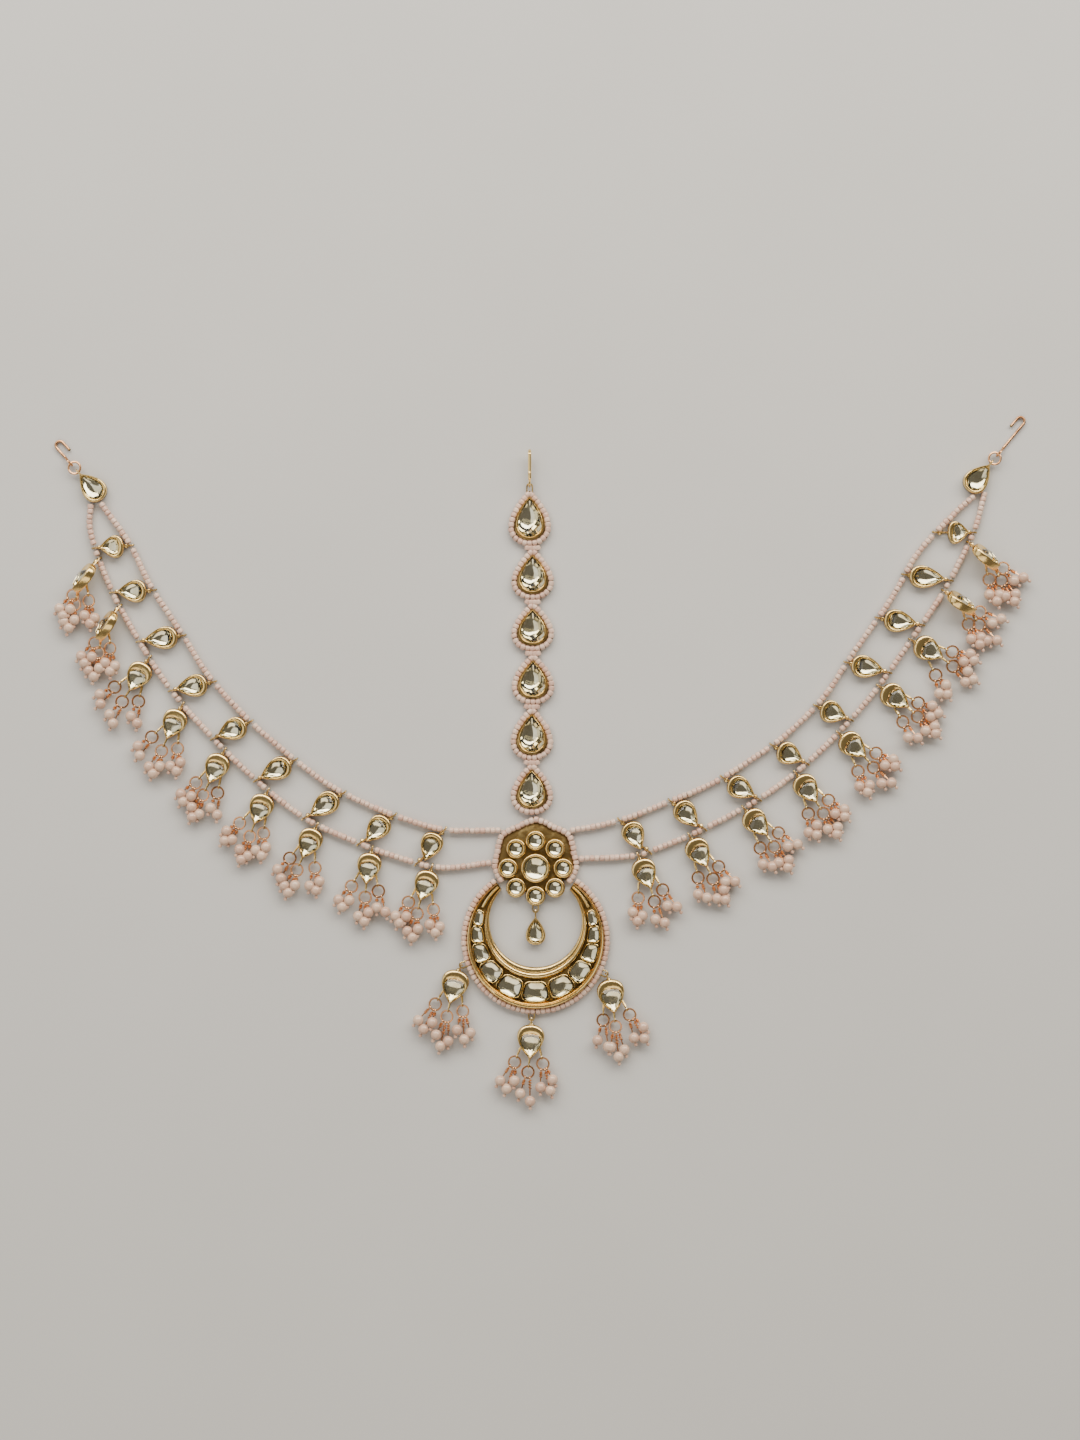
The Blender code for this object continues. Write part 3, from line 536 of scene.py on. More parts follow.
def cup(line, half_width, rise=0.0, section=CUP_SECTION, floor=FLOOR_HEIGHT):
    """The gold cup: its section round the outline, and a flat floor under the stone. A rise
    lifts all that is higher than its foot, which is in millimetres as the section is."""
    rows = [(inset * MM, height * MM + (rise if height > FOOT_HEIGHT else 0.0))
            for inset, height in section]
    inner = rows[-1][0]
    rows += [(inner + FLOOR_STEP, floor + rise), (half_width * FLOOR_SHARE, floor + rise)]
    return skin_of_grid(rows_of(line, rows, CUP_POINTS), GOLD, ends=(GOLD, GOLD))


STONE_EDGE_HEIGHT = 2.02 * MM

# The stone's rings: share of the way in from its edge, half steps turned, and either the
# slope in degrees below its edge or the height above it in millimetres
STONE_SECTION = (
    # share, half steps, slope, height
    (0.84, 0.0, 14.0, 0.0),
    (0.42, 0.5, 17.0, 0.0),
    (0.0, 0.0, 0.0, 0.0),
    (0.08, 0.5, 0.0, 0.48),
    (0.17, 0.0, 0.0, 0.82),
)
FOILED_ROWS = 2
STONE_EDGE = 0.84 * MM


def stone(line, half_width, rise=0.0, count=10, edge=STONE_EDGE):
    """Rings round the outline, joined by triangles: low ones slope evenly to a flat middle
    and carry the foil, high ones are glass and rise to the table."""
    rings = []
    for share, half_steps, slope, height in STONE_SECTION:
        inwards = share * (half_width - edge)
        level = STONE_EDGE_HEIGHT + rise + height * MM - inwards * math.tan(math.radians(slope))
        ring = line(edge + inwards, count, half_steps)
        rings.append(np.column_stack((ring, np.full(count, level))))
    here = np.arange(count)
    beside = (here + 1) % count
    faces, finishes = [here[::-1][None]], [FOIL]
    for row in range(len(rings) - 1):
        low, high = row * count, (row + 1) * count
        a, b, c, d = low + here, low + beside, high + here, high + beside
        half_turned = STONE_SECTION[row][1]
        pair = ((a, d, c), (a, b, d)) if half_turned else ((a, b, c), (c, b, d))
        faces += [np.stack(corners, axis=1) for corners in pair]
        finishes += [FOIL if row < FOILED_ROWS else GLASS] * 2
    faces.append((here + (len(rings) - 1) * count)[None])
    return Skin(np.array(rings), faces, [*finishes, GLASS], smooth=False)


def pear_setting(length, width, cap=0.0):
    """A cup and its stone round one pear outline."""
    line = pear_line(length, width, cap)
    return [cup(line, width / 2), stone(line, width / 2)]


def set_down(skins, origin, axes):
    """The skins moved to an origin and turned to its axes."""
    return [skin.placed(origin, axes) for skin in skins]


def face_count(skins):
    return sum(len(group) for skin in skins for group in skin.faces)


print("a pear setting has", face_count(pear_setting(8.7 * MM, 6.6 * MM)), "faces")

# %% [markdown]
# ## Seed beads on thread
# A seed bead is a short barrel with a hole: an oval profile, a little square, turned round its
# thread. Beads are laid at an even pitch along a path, each a touch different in size, tilt
# and tone, because real ones are never alike.

# %% One seed bead and rows of them
BEAD_WIDTH = 1.75 * MM
BEAD_PITCH = 1.36 * MM
THREAD_WIDTH = 0.44 * MM
BEAD_PROFILE_POINTS = 7
BEAD_SIDES = 10
BEAD_POWER = 0.9
BEAD_LENGTH_SHARE = 0.98
BEAD_MIDDLE_SHARE = 0.32
BEAD_WALL_SHARE = 0.18


def squared(value, power):
    """A cosine or sine pulled towards 1, which squares an oval."""
    return np.sign(value) * np.abs(value) ** power


def seed_bead():
    """Along is half the pitch times a squared cosine, out is a middle radius plus a sine."""
    profile = np.arange(BEAD_PROFILE_POINTS) * 2 * math.pi / BEAD_PROFILE_POINTS
    along = 0.5 * BEAD_PITCH * BEAD_LENGTH_SHARE * squared(np.cos(profile), BEAD_POWER)
    wall = BEAD_WALL_SHARE * squared(np.sin(profile), BEAD_POWER)
    out = BEAD_WIDTH * (BEAD_MIDDLE_SHARE + wall)
    return skin_of_grid(turned(along, out, BEAD_SIDES), BEAD, (True, True), tone=0.0)


SEED_BEAD = seed_bead()


def lengths_along(path):
    """How far along a path each of its points lies."""
    steps = np.linalg.norm(np.diff(path, axis=0), axis=1)
    return np.concatenate(((0.0,), np.cumsum(steps)))


def read_path(path, reached, distance):
    """The point of a path at one distance, or the points at an array of distances."""
    return np.stack([np.interp(distance, reached, path[:, i]) for i in range(3)], axis=-1)


BEAD_LOOK = 0.4 * MM
BEAD_TILT = 0.06
BEAD_SPIN = 0.6
BEAD_SPREAD = 0.035
BEAD_SCALES = (0.9, 1.06)
BEAD_SHIFT = 0.03 * MM


def spaced(path, start, end):
    """Points and directions at a bead's pitch along a path, between two distances."""
    reached = lengths_along(path)
    end = min(end, reached[-1])
    count = max(1, round((end - start) / BEAD_PITCH))
    distance = start + (np.arange(count) + 0.5) * (end - start) / count
    ahead = read_path(path, reached, distance + BEAD_LOOK)
    behind = read_path(path, reached, distance - BEAD_LOOK)
    return read_path(path, reached, distance), unit(ahead - behind)


def row_of_beads(path, start=0.0, end=math.inf):
    """Seed beads laid along a path, all of it unless two distances are given."""
    centres, along = spaced(path, start, end)
    count = len(centres)
    along = unit(along + CHANCE.normal(0.0, BEAD_TILT, (count, 3)))
    side = unit(np.cross(np.broadcast_to(UP, along.shape), along))
    top = np.cross(along, side)
    spin = CHANCE.uniform(0.0, BEAD_SPIN, count)[:, None]
    axes = np.stack((along, side * np.cos(spin) + top * np.sin(spin),
                     top * np.cos(spin) - side * np.sin(spin)), axis=1)
    scale = CHANCE.normal(1.0, BEAD_SPREAD, (count, 3, 1)).clip(*BEAD_SCALES)
    centres = centres + CHANCE.normal(0.0, BEAD_SHIFT, (count, 3))
    return SEED_BEAD.placed(centres, axes * scale, CHANCE.uniform(0.0, 1.0, count))


# %% [markdown]
# ## The routes of the strings
# Each string was laid by hand and follows its own smooth curve, so it keeps its few chosen
# points, in millimetres from the rosette's centre, from its end stone to the rosette. Shares
# of its length say where the eyes of the stones and drops hold it.

# %% Routes and stations
CLEARANCE = 0.3 * MM
TABLE_CLEARANCE = 0.12 * MM
STRING_HEIGHT = BEAD_WIDTH / 2 + TABLE_CLEARANCE
STRING_ROOM = BEAD_WIDTH / 2 + CLEARANCE
EYE_RADIUS = 0.74 * MM
EYE_WIRE = 0.44 * MM
ROUTE_STEPS = 40

STRING_ROUTES = {
    "left_upper": [
        (-117.5, 98.6), (-109.8, 87.8), (-103.9, 76.1), (-95.8, 63.7), (-88.2, 51.8),
        (-77.8, 40.3), (-66.5, 30.4), (-55.0, 22.0), (-41.0, 15.3), (-26.5, 10.7),
        (-18.0, 10.1),
    ],
    "left_lower": [
        (-120.2, 98.4), (-120.1, 90.2), (-114.6, 75.2), (-106.8, 60.8), (-98.5, 48.1),
        (-88.2, 36.2), (-76.2, 24.4), (-63.6, 14.3), (-51.1, 8.1), (-36.0, 2.5),
        (-24.9, 0.1),
    ],
    "right_upper": [
        (118.6, 100.6), (112.1, 94.8), (102.6, 84.1), (96.2, 72.9), (85.1, 57.0),
        (77.6, 45.9), (66.5, 35.1), (49.5, 23.8), (37.2, 18.4), (25.6, 13.8),
        (17.4, 11.5),
    ],
    "right_lower": [
        (121.4, 101.6), (118.3, 90.7), (110.6, 75.3), (101.8, 62.1), (92.3, 48.6),
        (84.3, 39.2), (74.3, 29.2), (62.1, 19.8), (47.9, 11.8), (33.8, 5.6),
        (25.6, 3.2),
    ],
}


# Where each string ends at the rosette's border: degrees from the rosette's top towards +X
STRING_SEATS = {
    "left_upper": -44.1, "left_lower": -83.7, "right_upper": 44.1, "right_lower": 78.3,
}
STRING_SEAT_CLEARANCE = 0.65 * MM

# The rosette's outline: degrees from its top, and share of its radius
ROSETTE_OUTLINE = (
    # degrees, share
    (0.0, ROSETTE_TOP_SHARE),
    (22.5, 0.98),
    (45.0, 1.03),
    (67.5, 0.91),
    (90.0, 0.90),
    (112.5, ROSETTE_LOW_SHARE),
    (180.0, ROSETTE_LOW_SHARE),
)


def string_seat(name):
    """The place just outside the rosette's border at which a string ends."""
    angles, shares = zip(*ROSETTE_OUTLINE)
    degrees = STRING_SEATS[name]
    reach = ROSETTE_RADIUS * np.interp(abs(degrees), angles, shares) + STRING_SEAT_CLEARANCE
    turn = math.radians(degrees)
    return math.sin(turn) * reach, math.cos(turn) * reach


class Route:
    """A string's smooth line, read by share of its length."""

    def __init__(self, name):
        chosen = np.vstack((np.array(STRING_ROUTES[name]) * MM, string_seat(name)))
        points = np.column_stack((chosen, np.zeros(len(chosen)))) + MIDDLE
        self.line = eased(points, ROUTE_STEPS)
        self.reached = lengths_along(self.line)
        self.length = self.reached[-1]

    def at(self, share):
        return read_path(self.line, self.reached, share * self.length)

    def along(self, share):
        step = BEAD_WIDTH / 4 / self.length
        return unit(self.at(share + step) - self.at(share - step))


ROUTES = {name: Route(name) for name in STRING_ROUTES}
for route_name, route in ROUTES.items():
    print(route_name, "string in mm:", round(route.length / MM, 1))

# %% [markdown]
# ## The stations of each ladder
# A row holds where a rung's eyes sit on the two strings, how far its stone leans, where the
# drop hangs, the directions of the drop and of its bunches of pearls, and how far it is rolled.

# %% Stations
LADDERS = {
    "left": (
        # upper, lower, lean, drop, outward, bunches, roll
        (0.096, 0.076, 0.0, 0.096, 34.0, 14.0, 68.0),
        (0.188, 0.157, 0.0, 0.184, 30.0, 18.0, 68.0),
        (0.287, 0.252, 0.0, 0.285, 30.0, 30.0, 0.0),
        (0.389, 0.352, 0.0, 0.383, 24.0, 24.0, 0.0),
        (0.488, 0.461, 0.0, 0.489, 25.0, 25.0, 0.0),
        (0.596, 0.563, 0.0, 0.590, 22.0, 22.0, 0.0),
        (0.704, 0.667, 6.0, 0.693, 24.0, 20.0, 0.0),
        (0.806, 0.770, 12.0, 0.795, 10.0, 10.0, 0.0),
        (0.902, 0.874, 20.0, 0.902, 20.0, 12.0, 0.0),
    ),
    "right": (
        # upper, lower, lean, drop, outward, bunches, roll
        (0.100, 0.072, 0.0, 0.092, 46.0, 34.0, 68.0),
        (0.196, 0.164, 0.0, 0.186, 52.0, 42.0, 68.0),
        (0.290, 0.255, 0.0, 0.288, 61.0, 48.0, 0.0),
        (0.390, 0.355, 0.0, 0.385, 55.0, 46.0, 0.0),
        (0.488, 0.460, 0.0, 0.492, 49.0, 42.0, 0.0),
        (0.597, 0.567, 0.0, 0.593, 36.0, 32.0, 0.0),
        (0.706, 0.670, 0.0, 0.702, 42.0, 34.0, 0.0),
        (0.812, 0.777, 12.0, 0.807, 30.0, 24.0, 0.0),
        (0.912, 0.880, 20.0, 0.902, 22.0, 16.0, 0.0),
    ),
}
BARE_END = 1.2 * MM
BARE_AT_EYE = 0.75 * BARE_END
SEAM_SHARE = 0.4
STRAND_WIDTH = 0.9 * THREAD_WIDTH


def string(name):
    """Beads in runs between the stations, on a thread that shows where eyes hold it."""
    side = name.split("_")[0]
    route = ROUTES[name]
    if name.endswith("upper"):
        held = [(row[0], row[0]) for row in LADDERS[side]]
    else:
        held = [(row[1], row[3]) for row in LADDERS[side]]
    seam = route.line[-1] + route.along(1.0) * BARE_END
    path = np.vstack((route.line, seam)) + UP * STRING_HEIGHT
    skins = []
    start = 0.0
    for first, last in np.array(held) * route.length:
        skins.append(row_of_beads(path, start, first - BARE_AT_EYE))
        if last > first:
            skins.append(row_of_beads(path, first + BARE_AT_EYE, last - BARE_AT_EYE))
        start = last + BARE_AT_EYE
    skins.append(row_of_beads(path, start, route.length + SEAM_SHARE * BARE_END))
    strand = wire(np.vstack((path[:-1:4], path[-1:])), STRAND_WIDTH, UP, 6, finish=THREAD)
    piece(f"{name}_string", [*skins, strand])


for route_name in STRING_ROUTES:
    string(route_name)
print("seed beads to a string:", round(ROUTES["left_lower"].length / BEAD_PITCH))

# %% [markdown]
# ## Rungs
# A rung is a pear stone between the two strings, held by a bent wire eye at each end and a
# small gold ball where the wire is soldered. Its length is what the strings leave free.

# %% Rungs between the strings
RUNG_WIDTH = 6.2 * MM
RUNG_SEATS = (0.25, 0.72)
RUNG_SHOULDER = 0.5
KNOB_WIDTH = 1.3 * MM
KNOB_REACH = 1.05
EYE_BEND = math.radians(60.0)
SOLID_POINTS = 10
FITTING_STEPS = 8
FITTING_SHARE = 0.8


def facing_side(direction, heading):
    """The direction square to a string on the side that heading points to."""
    square = left_of(direction)
    return square if np.dot(square, heading) > 0 else -square


def spare_room(outline, hold, outward):
    """How much further than the beads' room an outline lies from a string at hold."""
    return np.min((outline - hold) @ outward) - STRING_ROOM


def solid_outline(length, width, start, heading):
    """The coarser pear that the solid has, laid down."""
    points = pear_line(length, width)(0.0, SOLID_POINTS)
    return start + points[:, :1] * heading + points[:, 1:] * left_of(heading)


def eye(centre, outward, inside):
    """A wire from the seat over, round and back under the thread at centre."""
    leg = UP * EYE_RADIUS
    back = -outward * EYE_RADIUS
    rise, aside = leg * math.sin(EYE_BEND), back * math.cos(EYE_BEND)
    path = [inside + leg, centre + rise + aside, centre + back, centre - rise + aside,
            inside - leg]
    if inside[2] - centre[2] > EYE_RADIUS:
        path.insert(4, centre + outward * STRING_ROOM - leg)
    return wire(eased(np.array(path), 4), EYE_WIRE, left_of(outward), 7)


def eye_and_knob(centre, outward, seat):
    """An eye round the thread at centre, and the ball of solder where its legs meet."""
    knob = centre + unit(seat - centre) * STRING_ROOM * KNOB_REACH
    return [eye(centre, outward, seat), ball(knob, KNOB_WIDTH)]


def rung(name, top, top_along, foot, foot_along, lean):
    """A stone between two strings. Each step adds most of the spare room at both ends to its
    length and moves its middle by half their difference, until the beads' room is left."""
    line = unit(foot - top)
    turn = math.radians(lean)
    heading = line * math.cos(turn) + left_of(line) * math.sin(turn)
    middle = (top + foot) / 2
    length = np.linalg.norm(foot - top) - 2 * STRING_ROOM
    for _ in range(FITTING_STEPS):
        start = middle - heading * length / 2
        outline = solid_outline(length, RUNG_WIDTH, start, heading)
        at_top = spare_room(outline, top, facing_side(top_along, line))
        at_foot = spare_room(outline, foot, facing_side(foot_along, -line))
        length += (at_top + at_foot) * FITTING_SHARE
        middle = middle + line * (at_foot - at_top) / 2
    skins = set_down(pear_setting(length, RUNG_WIDTH, RUNG_SHOULDER), start, axes_of(heading))
    for point, along, share in zip((top, foot), (top_along, foot_along), RUNG_SEATS):
        seat = start + heading * length * share + UP * STRING_HEIGHT
        centre = point + UP * STRING_HEIGHT
        skins += eye_and_knob(centre, facing_side(along, unit(seat - centre)), seat)
    piece(name, skins)


for side, rows in LADDERS.items():
    upper, lower = ROUTES[f"{side}_upper"], ROUTES[f"{side}_lower"]
    for number, (high, low, lean, *_) in enumerate(rows, 1):
        lean = lean if side == "left" else -lean
        rung(f"{side}_rung_{number}", upper.at(high), upper.along(high), lower.at(low),
             lower.along(low), lean)
print("rungs:", 2 * len(rows))

# %% [markdown]
# ## Bunches of pearls
# Three jump rings hang from each drop, and each ring holds two or three pearls on wrapped pins
# with a tiny ball below. One bunch is worked out lying along its own length, and copies are
# laid down for every drop, in three kinds so that neighbours differ.

# %% A dangle: loop, wrapped pin, pearl and ball
PEARL_WIDTH = 2.95 * MM
RING_WIDTH = 3.8 * MM
RING_WIRE = 0.54 * MM
PIN_WIRE = 0.4 * MM
X, Y = np.array((1.0, 0.0, 0.0)), np.array((0.0, 1.0, 0.0))
PEARL_ROWS, PEARL_SIDES = 9, 12
PEARL_STRETCH = 1.04
DIMPLE_DEPTH, DIMPLE_POWER = 0.1, 9.0
PEARL_HOLE = 0.06

# The dangle's parts: places are measured from its start, and its tip from the pearl
PIN_LOOP_RADIUS, PIN_LOOP_PLACE = 0.52 * MM, 0.45 * MM
NECK_PLACE = 0.95 * MM
COIL_TURNS, COIL_POINTS = 3, 22
COIL_RADIUS, COIL_SHARE = 0.36 * MM, 0.55
COIL_WIRE = 0.9 * PIN_WIRE
TIP_WIDTH, TIP_PLACE = 1.05 * MM, 0.42 * MM


def pearl_skin(centre, width):
    """A ball drawn out a little along its pin, with a dimple at each pole."""
    angle = np.linspace(0.0, math.pi, PEARL_ROWS)
    dimple = squared(np.cos(angle), DIMPLE_POWER) * DIMPLE_DEPTH
    along = np.cos(angle) * PEARL_STRETCH - dimple
    out = np.maximum(np.sin(angle), PEARL_HOLE)
    grid = turned(along, out, PEARL_SIDES)
    return skin_of_grid(centre + grid * width / 2, PEARL, ends=(PEARL, PEARL), tone=0.0)


def dangle(start, centre, width):
    """A loop at start, a wrapped pin to the pearl at centre, and a ball beyond it."""
    way = unit(centre - start)
    side = unit(np.cross(UP, way))
    top = np.cross(way, side)
    near = centre - way * width / 2
    loop = circle_path(start + way * PIN_LOOP_PLACE, way, top, PIN_LOOP_RADIUS, 10)
    neck = start + way * NECK_PLACE
    reach = np.linalg.norm(near - neck)
    turns = np.linspace(0.0, COIL_TURNS * 2 * math.pi, COIL_POINTS)[:, None]
    coil = neck + way * turns / turns.max() * reach * COIL_SHARE
    coil = coil + COIL_RADIUS * (np.cos(turns) * side + np.sin(turns) * top)
    tip = centre + way * (width / 2 + TIP_PLACE)
    return [wire(loop, PIN_WIRE, side, 5, True, COPPER),
            wire(coil, COIL_WIRE, way, 4, finish=COPPER),
            wire(np.array((neck, (neck + near) / 2, near)), PIN_WIRE, UP, 5, finish=COPPER),
            pearl_skin(centre, width),
            ball(tip, TIP_WIDTH, PEARL, 7, 5, tone=0.3)]


# %% Three kinds of bunch
BUNCH_KINDS = (
    # share of the length, share of the width from the middle, height in mm
    ((0.66, -0.30, 1.75), (0.73, 0.32, 1.62), (0.85, 0.02, 1.85)),
    ((0.70, -0.24, 1.65), (0.82, 0.26, 1.75)),
    ((0.64, 0.30, 1.8), (0.74, -0.32, 1.6), (0.84, 0.10, 1.8)),
)
BUNCH_TILTS = (0.28, -0.2, 0.15)
RING_SPREAD = 1.6

# The eyelet soldered to the drop: its foot's end from the root, its wires and its circle
EYELET_END = np.array((1.9, 0.0, 1.35)) * MM
EYELET_FOOT_WIRE, EYELET_WIRE = 0.7 * MM, 0.42 * MM
EYELET_RADIUS, EYELET_PLACE = 0.62 * MM, 0.55 * MM
RING_PLACE = 0.75 * MM
DANGLE_PLACE = -0.3 * MM


def bunch(kind, length, width, root_height):
    """A jump ring, its eyelet on the drop and its pearls, lying along +X from the root."""
    root = np.array((0.0, 0.0, root_height))
    foot = np.array((root, (root + EYELET_END) / 2, EYELET_END))
    circle = circle_path(EYELET_END + X * EYELET_PLACE, X, UP, EYELET_RADIUS, 12)
    tilt = BUNCH_TILTS[kind]
    second = Y * math.cos(tilt) + UP * math.sin(tilt)
    radius = (RING_WIDTH - RING_WIRE) / 2
    centre = EYELET_END + X * (RING_PLACE + radius)
    ring = circle_path(centre, X, second, radius, 18)
    skins = [wire(foot, EYELET_FOOT_WIRE, Y, 6), wire(circle, EYELET_WIRE, Y, 6, True),
             wire(ring, RING_WIRE, np.cross(X, second), 6, True, COPPER)]
    for along, aside, height in BUNCH_KINDS[kind]:
        turn = aside * RING_SPREAD
        on_ring = centre + radius * (X * math.cos(turn) + second * math.sin(turn))
        start = on_ring + X * DANGLE_PLACE
        place = np.array((along * length, aside * width, height * MM))
        skins += dangle(start, place, PEARL_WIDTH)
    return skins


print("a bunch has", face_count(bunch(0, 13.6 * MM, 4.3 * MM, MM)), "faces")

# %% [markdown]
# ## Drops
# A drop is a pear stone that hangs from an eye on the lower string, with a bunch at its tip
# and one at each side. The first two drops of each side lie on their edges, as in the picture.

# %% Drops below the strings
DROP_SIZES = (8.7 * MM, 6.6 * MM, 13.6 * MM, 4.3 * MM)
SHOULDER = 1.6
SIDE_BUNCH_SPREAD = 16.0
SIDE_BUNCH_ALONG = 0.52
SIDE_BUNCH_ACROSS = 0.3
SIDE_BUNCH_REACH = 0.2
BUNCH_SWAY = 5.0
PEARL_TONES = 0.8
SOLDER_DEPTH = 0.8 * MM
BACK_SHARE = 0.07


def rolled(heading, roll, height):
    """Axes rolled about a line at this height, and the shift that rolling needs."""
    axes = axes_of(heading, roll)
    return axes, UP * height - height * axes[2]


def step_off_string(laid, hold, heading, outward):
    """How far along heading a drop starts so that it leaves its string the beads' room."""
    return -spare_room(laid, hold, outward) / np.dot(heading, outward)


def hanging_drop(name, hold, heading, bunches, outward, sizes, roll=0.0,
                 step_off=step_off_string):
    """A setting that leaves its string the beads' room, its eye, and three bunches. A rolled
    one turns about a line at half its rim's height and is lifted by its half width times the
    sine of the roll, less what the turn of its axis gives."""
    length, width, bunch_length, bunch_width = sizes
    turn = math.radians(abs(roll))
    axis = RIM_HEIGHT / 2
    lift = width / 2 * math.sin(turn) - axis * (1 - math.cos(turn))
    below = flat(hold[0], hold[1])
    axes, shift = rolled(heading, roll, axis)
    solid_rows = ((width / 2 * BACK_SHARE, 0.0), (0.0, RIM_HEIGHT), (RIM_WIDTH, RIM_HEIGHT),
                  (RIM_WIDTH * 2, TABLE_HEIGHT))
    solid = np.vstack(rows_of(pear_line(length, width), solid_rows, SOLID_POINTS))
    laid = below + UP * lift + shift + solid @ axes
    start = below + heading * step_off(laid, hold, heading, outward)
    skins = set_down(pear_setting(length, width, SHOULDER), start + UP * lift + shift, axes)
    sunk = min(0.0, min(skin.points[:, 2].min() for skin in skins))
    skins = set_down(skins, UP * -sunk, PLAIN_AXES)
    seat = start + heading * 2 * SOLDER_DEPTH + UP * (axis + lift)
    skins += eye_and_knob(hold, outward, seat)
    flat_width = width * math.cos(turn)
    roots = [(start + heading * (length - 2 * SOLDER_DEPTH), 0)]
    for side in (-1, 1):
        root = start + heading * length * SIDE_BUNCH_ALONG
        roots.append((root + left_of(heading) * flat_width * SIDE_BUNCH_ACROSS * side, side))
    reach = (SOLDER_DEPTH, width * SIDE_BUNCH_REACH)
    for root, side in roots:
        sway = CHANCE.uniform(-BUNCH_SWAY, BUNCH_SWAY)
        turn = math.radians(SIDE_BUNCH_SPREAD * side + sway)
        way = bunches * math.cos(turn) + left_of(bunches) * math.sin(turn)
        root = root + way * reach[abs(side)]
        kind = int(CHANCE.integers(len(BUNCH_KINDS)))
        size = bunch_length - reach[abs(side)]
        for skin in bunch(kind, size, bunch_width, axis + lift):
            tone = [CHANCE.uniform(0.0, PEARL_TONES)]
            own = tone if PEARL in skin.finishes[0] else None
            skins.append(skin.placed(root, axes_of(way), own))
    piece(name, skins)


for side, rows in LADDERS.items():
    mirror = -1 if side == "left" else 1
    lower = ROUTES[f"{side}_lower"]
    for number, (_, _, _, hang, outward, bunches, roll) in enumerate(rows, 1):
        heading = bearing(mirror * outward)
        hanging_drop(f"{side}_drop_{number}", lower.at(hang) + UP * STRING_HEIGHT, heading,
                     bearing(mirror * bunches), facing_side(lower.along(hang), heading),
                     DROP_SIZES, mirror * -roll)
print("drops hung:", 2 * len(rows))

# %% [markdown]
# ## Links of the middle chain
# Each link is a thin plate with one row of seed beads sewn round its edge and a pear stone in
# a cup inside. The row follows the same pear as the plate, half a bead in from its edge.

# %% Links
LINK_WIDTH = 11.8 * MM

# From the head hook down: length, and how far it lies to the side of the rosette's middle, in mm
LINKS = (
    # length, aside
    (15.4, -1.6),
    (14.3, -0.8),
    (13.6, -0.8),
    (14.1, -0.7),
    (14.8, -1.0),
    (14.3, -1.0),
)
BORDER_WIDTH = BEAD_WIDTH
BORDER_HEIGHT = 0.97 * MM
BORDER_THREAD = 0.4 * MM
LOOP_REACH = 1.5 * MM
LOOP_WIDTH = 1.5 * MM
LOOP_HEIGHT = 1.35 * MM
LOOP_WIRE = 0.44 * MM
PLATE_SECTION = (
    # inset, height
    (0.45, 0.0), (0.3, 0.08), (0.28, 0.34), (0.4, 0.44), (1.9, 0.5),
)


def plate(line, section=PLATE_SECTION, count=48):
    """A thin plate with rounded edges: rows of inset and height in millimetres."""
    rows = [(inset * MM, height * MM) for inset, height in section]
    return skin_of_grid(rows_of(line, rows, count), GOLD, ends=(GOLD, GOLD))


def loft_line(line, inset, height, count=96):
    """An outline lifted to a height, closed on itself."""
    points = np.column_stack((line(inset, count), np.full(count, height)))
    return np.vstack((points, points[:1]))


def beaded_border(line):
    """A row of beads on its thread, sewn round an outline."""
    path = loft_line(line, BORDER_WIDTH / 2, BORDER_HEIGHT)
    return [row_of_beads(path), wire(path[:-1], BORDER_THREAD, UP, 5, True, THREAD)]


def beaded_edge(path):
    """A row of beads on its thread, sewn along an edge that isn't closed."""
    return [row_of_beads(path), wire(path, BORDER_THREAD, UP, 5, finish=THREAD)]


def inner_line(line, inset):
    """The same outline, measured from an inset of its own."""
    return lambda more, count, shift=0.0: line(inset + more, count, shift)


# Beads sewn between two links: sideways and along from the lower link's tip, in millimetres
NECK_BEADS = ((-1.4, -0.1), (-0.45, -0.15), (0.45, -0.15), (1.4, -0.1))
NECK_TURN = 0.5
NECK_SIZE = 0.95


def neck(tip):
    """Seed beads that widen a link's tip to a neck under the next link."""
    heights = np.full(len(NECK_BEADS), BORDER_HEIGHT)
    places = tip + np.column_stack((np.array(NECK_BEADS) * MM, heights))
    turns = CHANCE.uniform(-NECK_TURN, NECK_TURN, len(places)) + math.pi / 2
    along = np.stack((np.cos(turns), np.sin(turns), np.zeros(len(turns))), axis=1)
    side = np.cross(UP, along)
    axes = np.stack((along, side, np.broadcast_to(UP, along.shape)), axis=1)
    return SEED_BEAD.placed(places, axes * NECK_SIZE, CHANCE.uniform(0.0, 1.0, len(places)))


def link(name, tip, length, first):
    """A beaded plate with a stone whose round end is at the bottom, its tip at tip."""
    line = pear_line(length, LINK_WIDTH)
    inner = inner_line(line, BORDER_WIDTH)
    half_width = LINK_WIDTH / 2 - BORDER_WIDTH
    skins = [plate(line), *beaded_border(line), cup(inner, half_width, section=LEDGE_SECTION),
             stone(inner, half_width, count=12)]
    skins = set_down(skins, tip - Y * length, axes_of(Y))
    skins.append(flat_loop(tip, Y) if first else neck(tip))
    piece(name, skins)


def flat_loop(edge, outward):
    """A wire loop that lies flat and reaches out from the edge of a plate."""
    bend = edge + outward * (LOOP_REACH - LOOP_WIDTH / 2) + UP * LOOP_HEIGHT
    side = left_of(outward)
    arc = circle_path(bend, side, outward, LOOP_WIDTH / 2, 11, math.pi)
    first, last = (outward * SOLDER_DEPTH * steps for steps in (2, 1))
    path = (arc[0] - first, arc[0] - last, *arc, arc[-1] - last, arc[-1] - first)
    return wire(path, LOOP_WIRE, UP, 7)


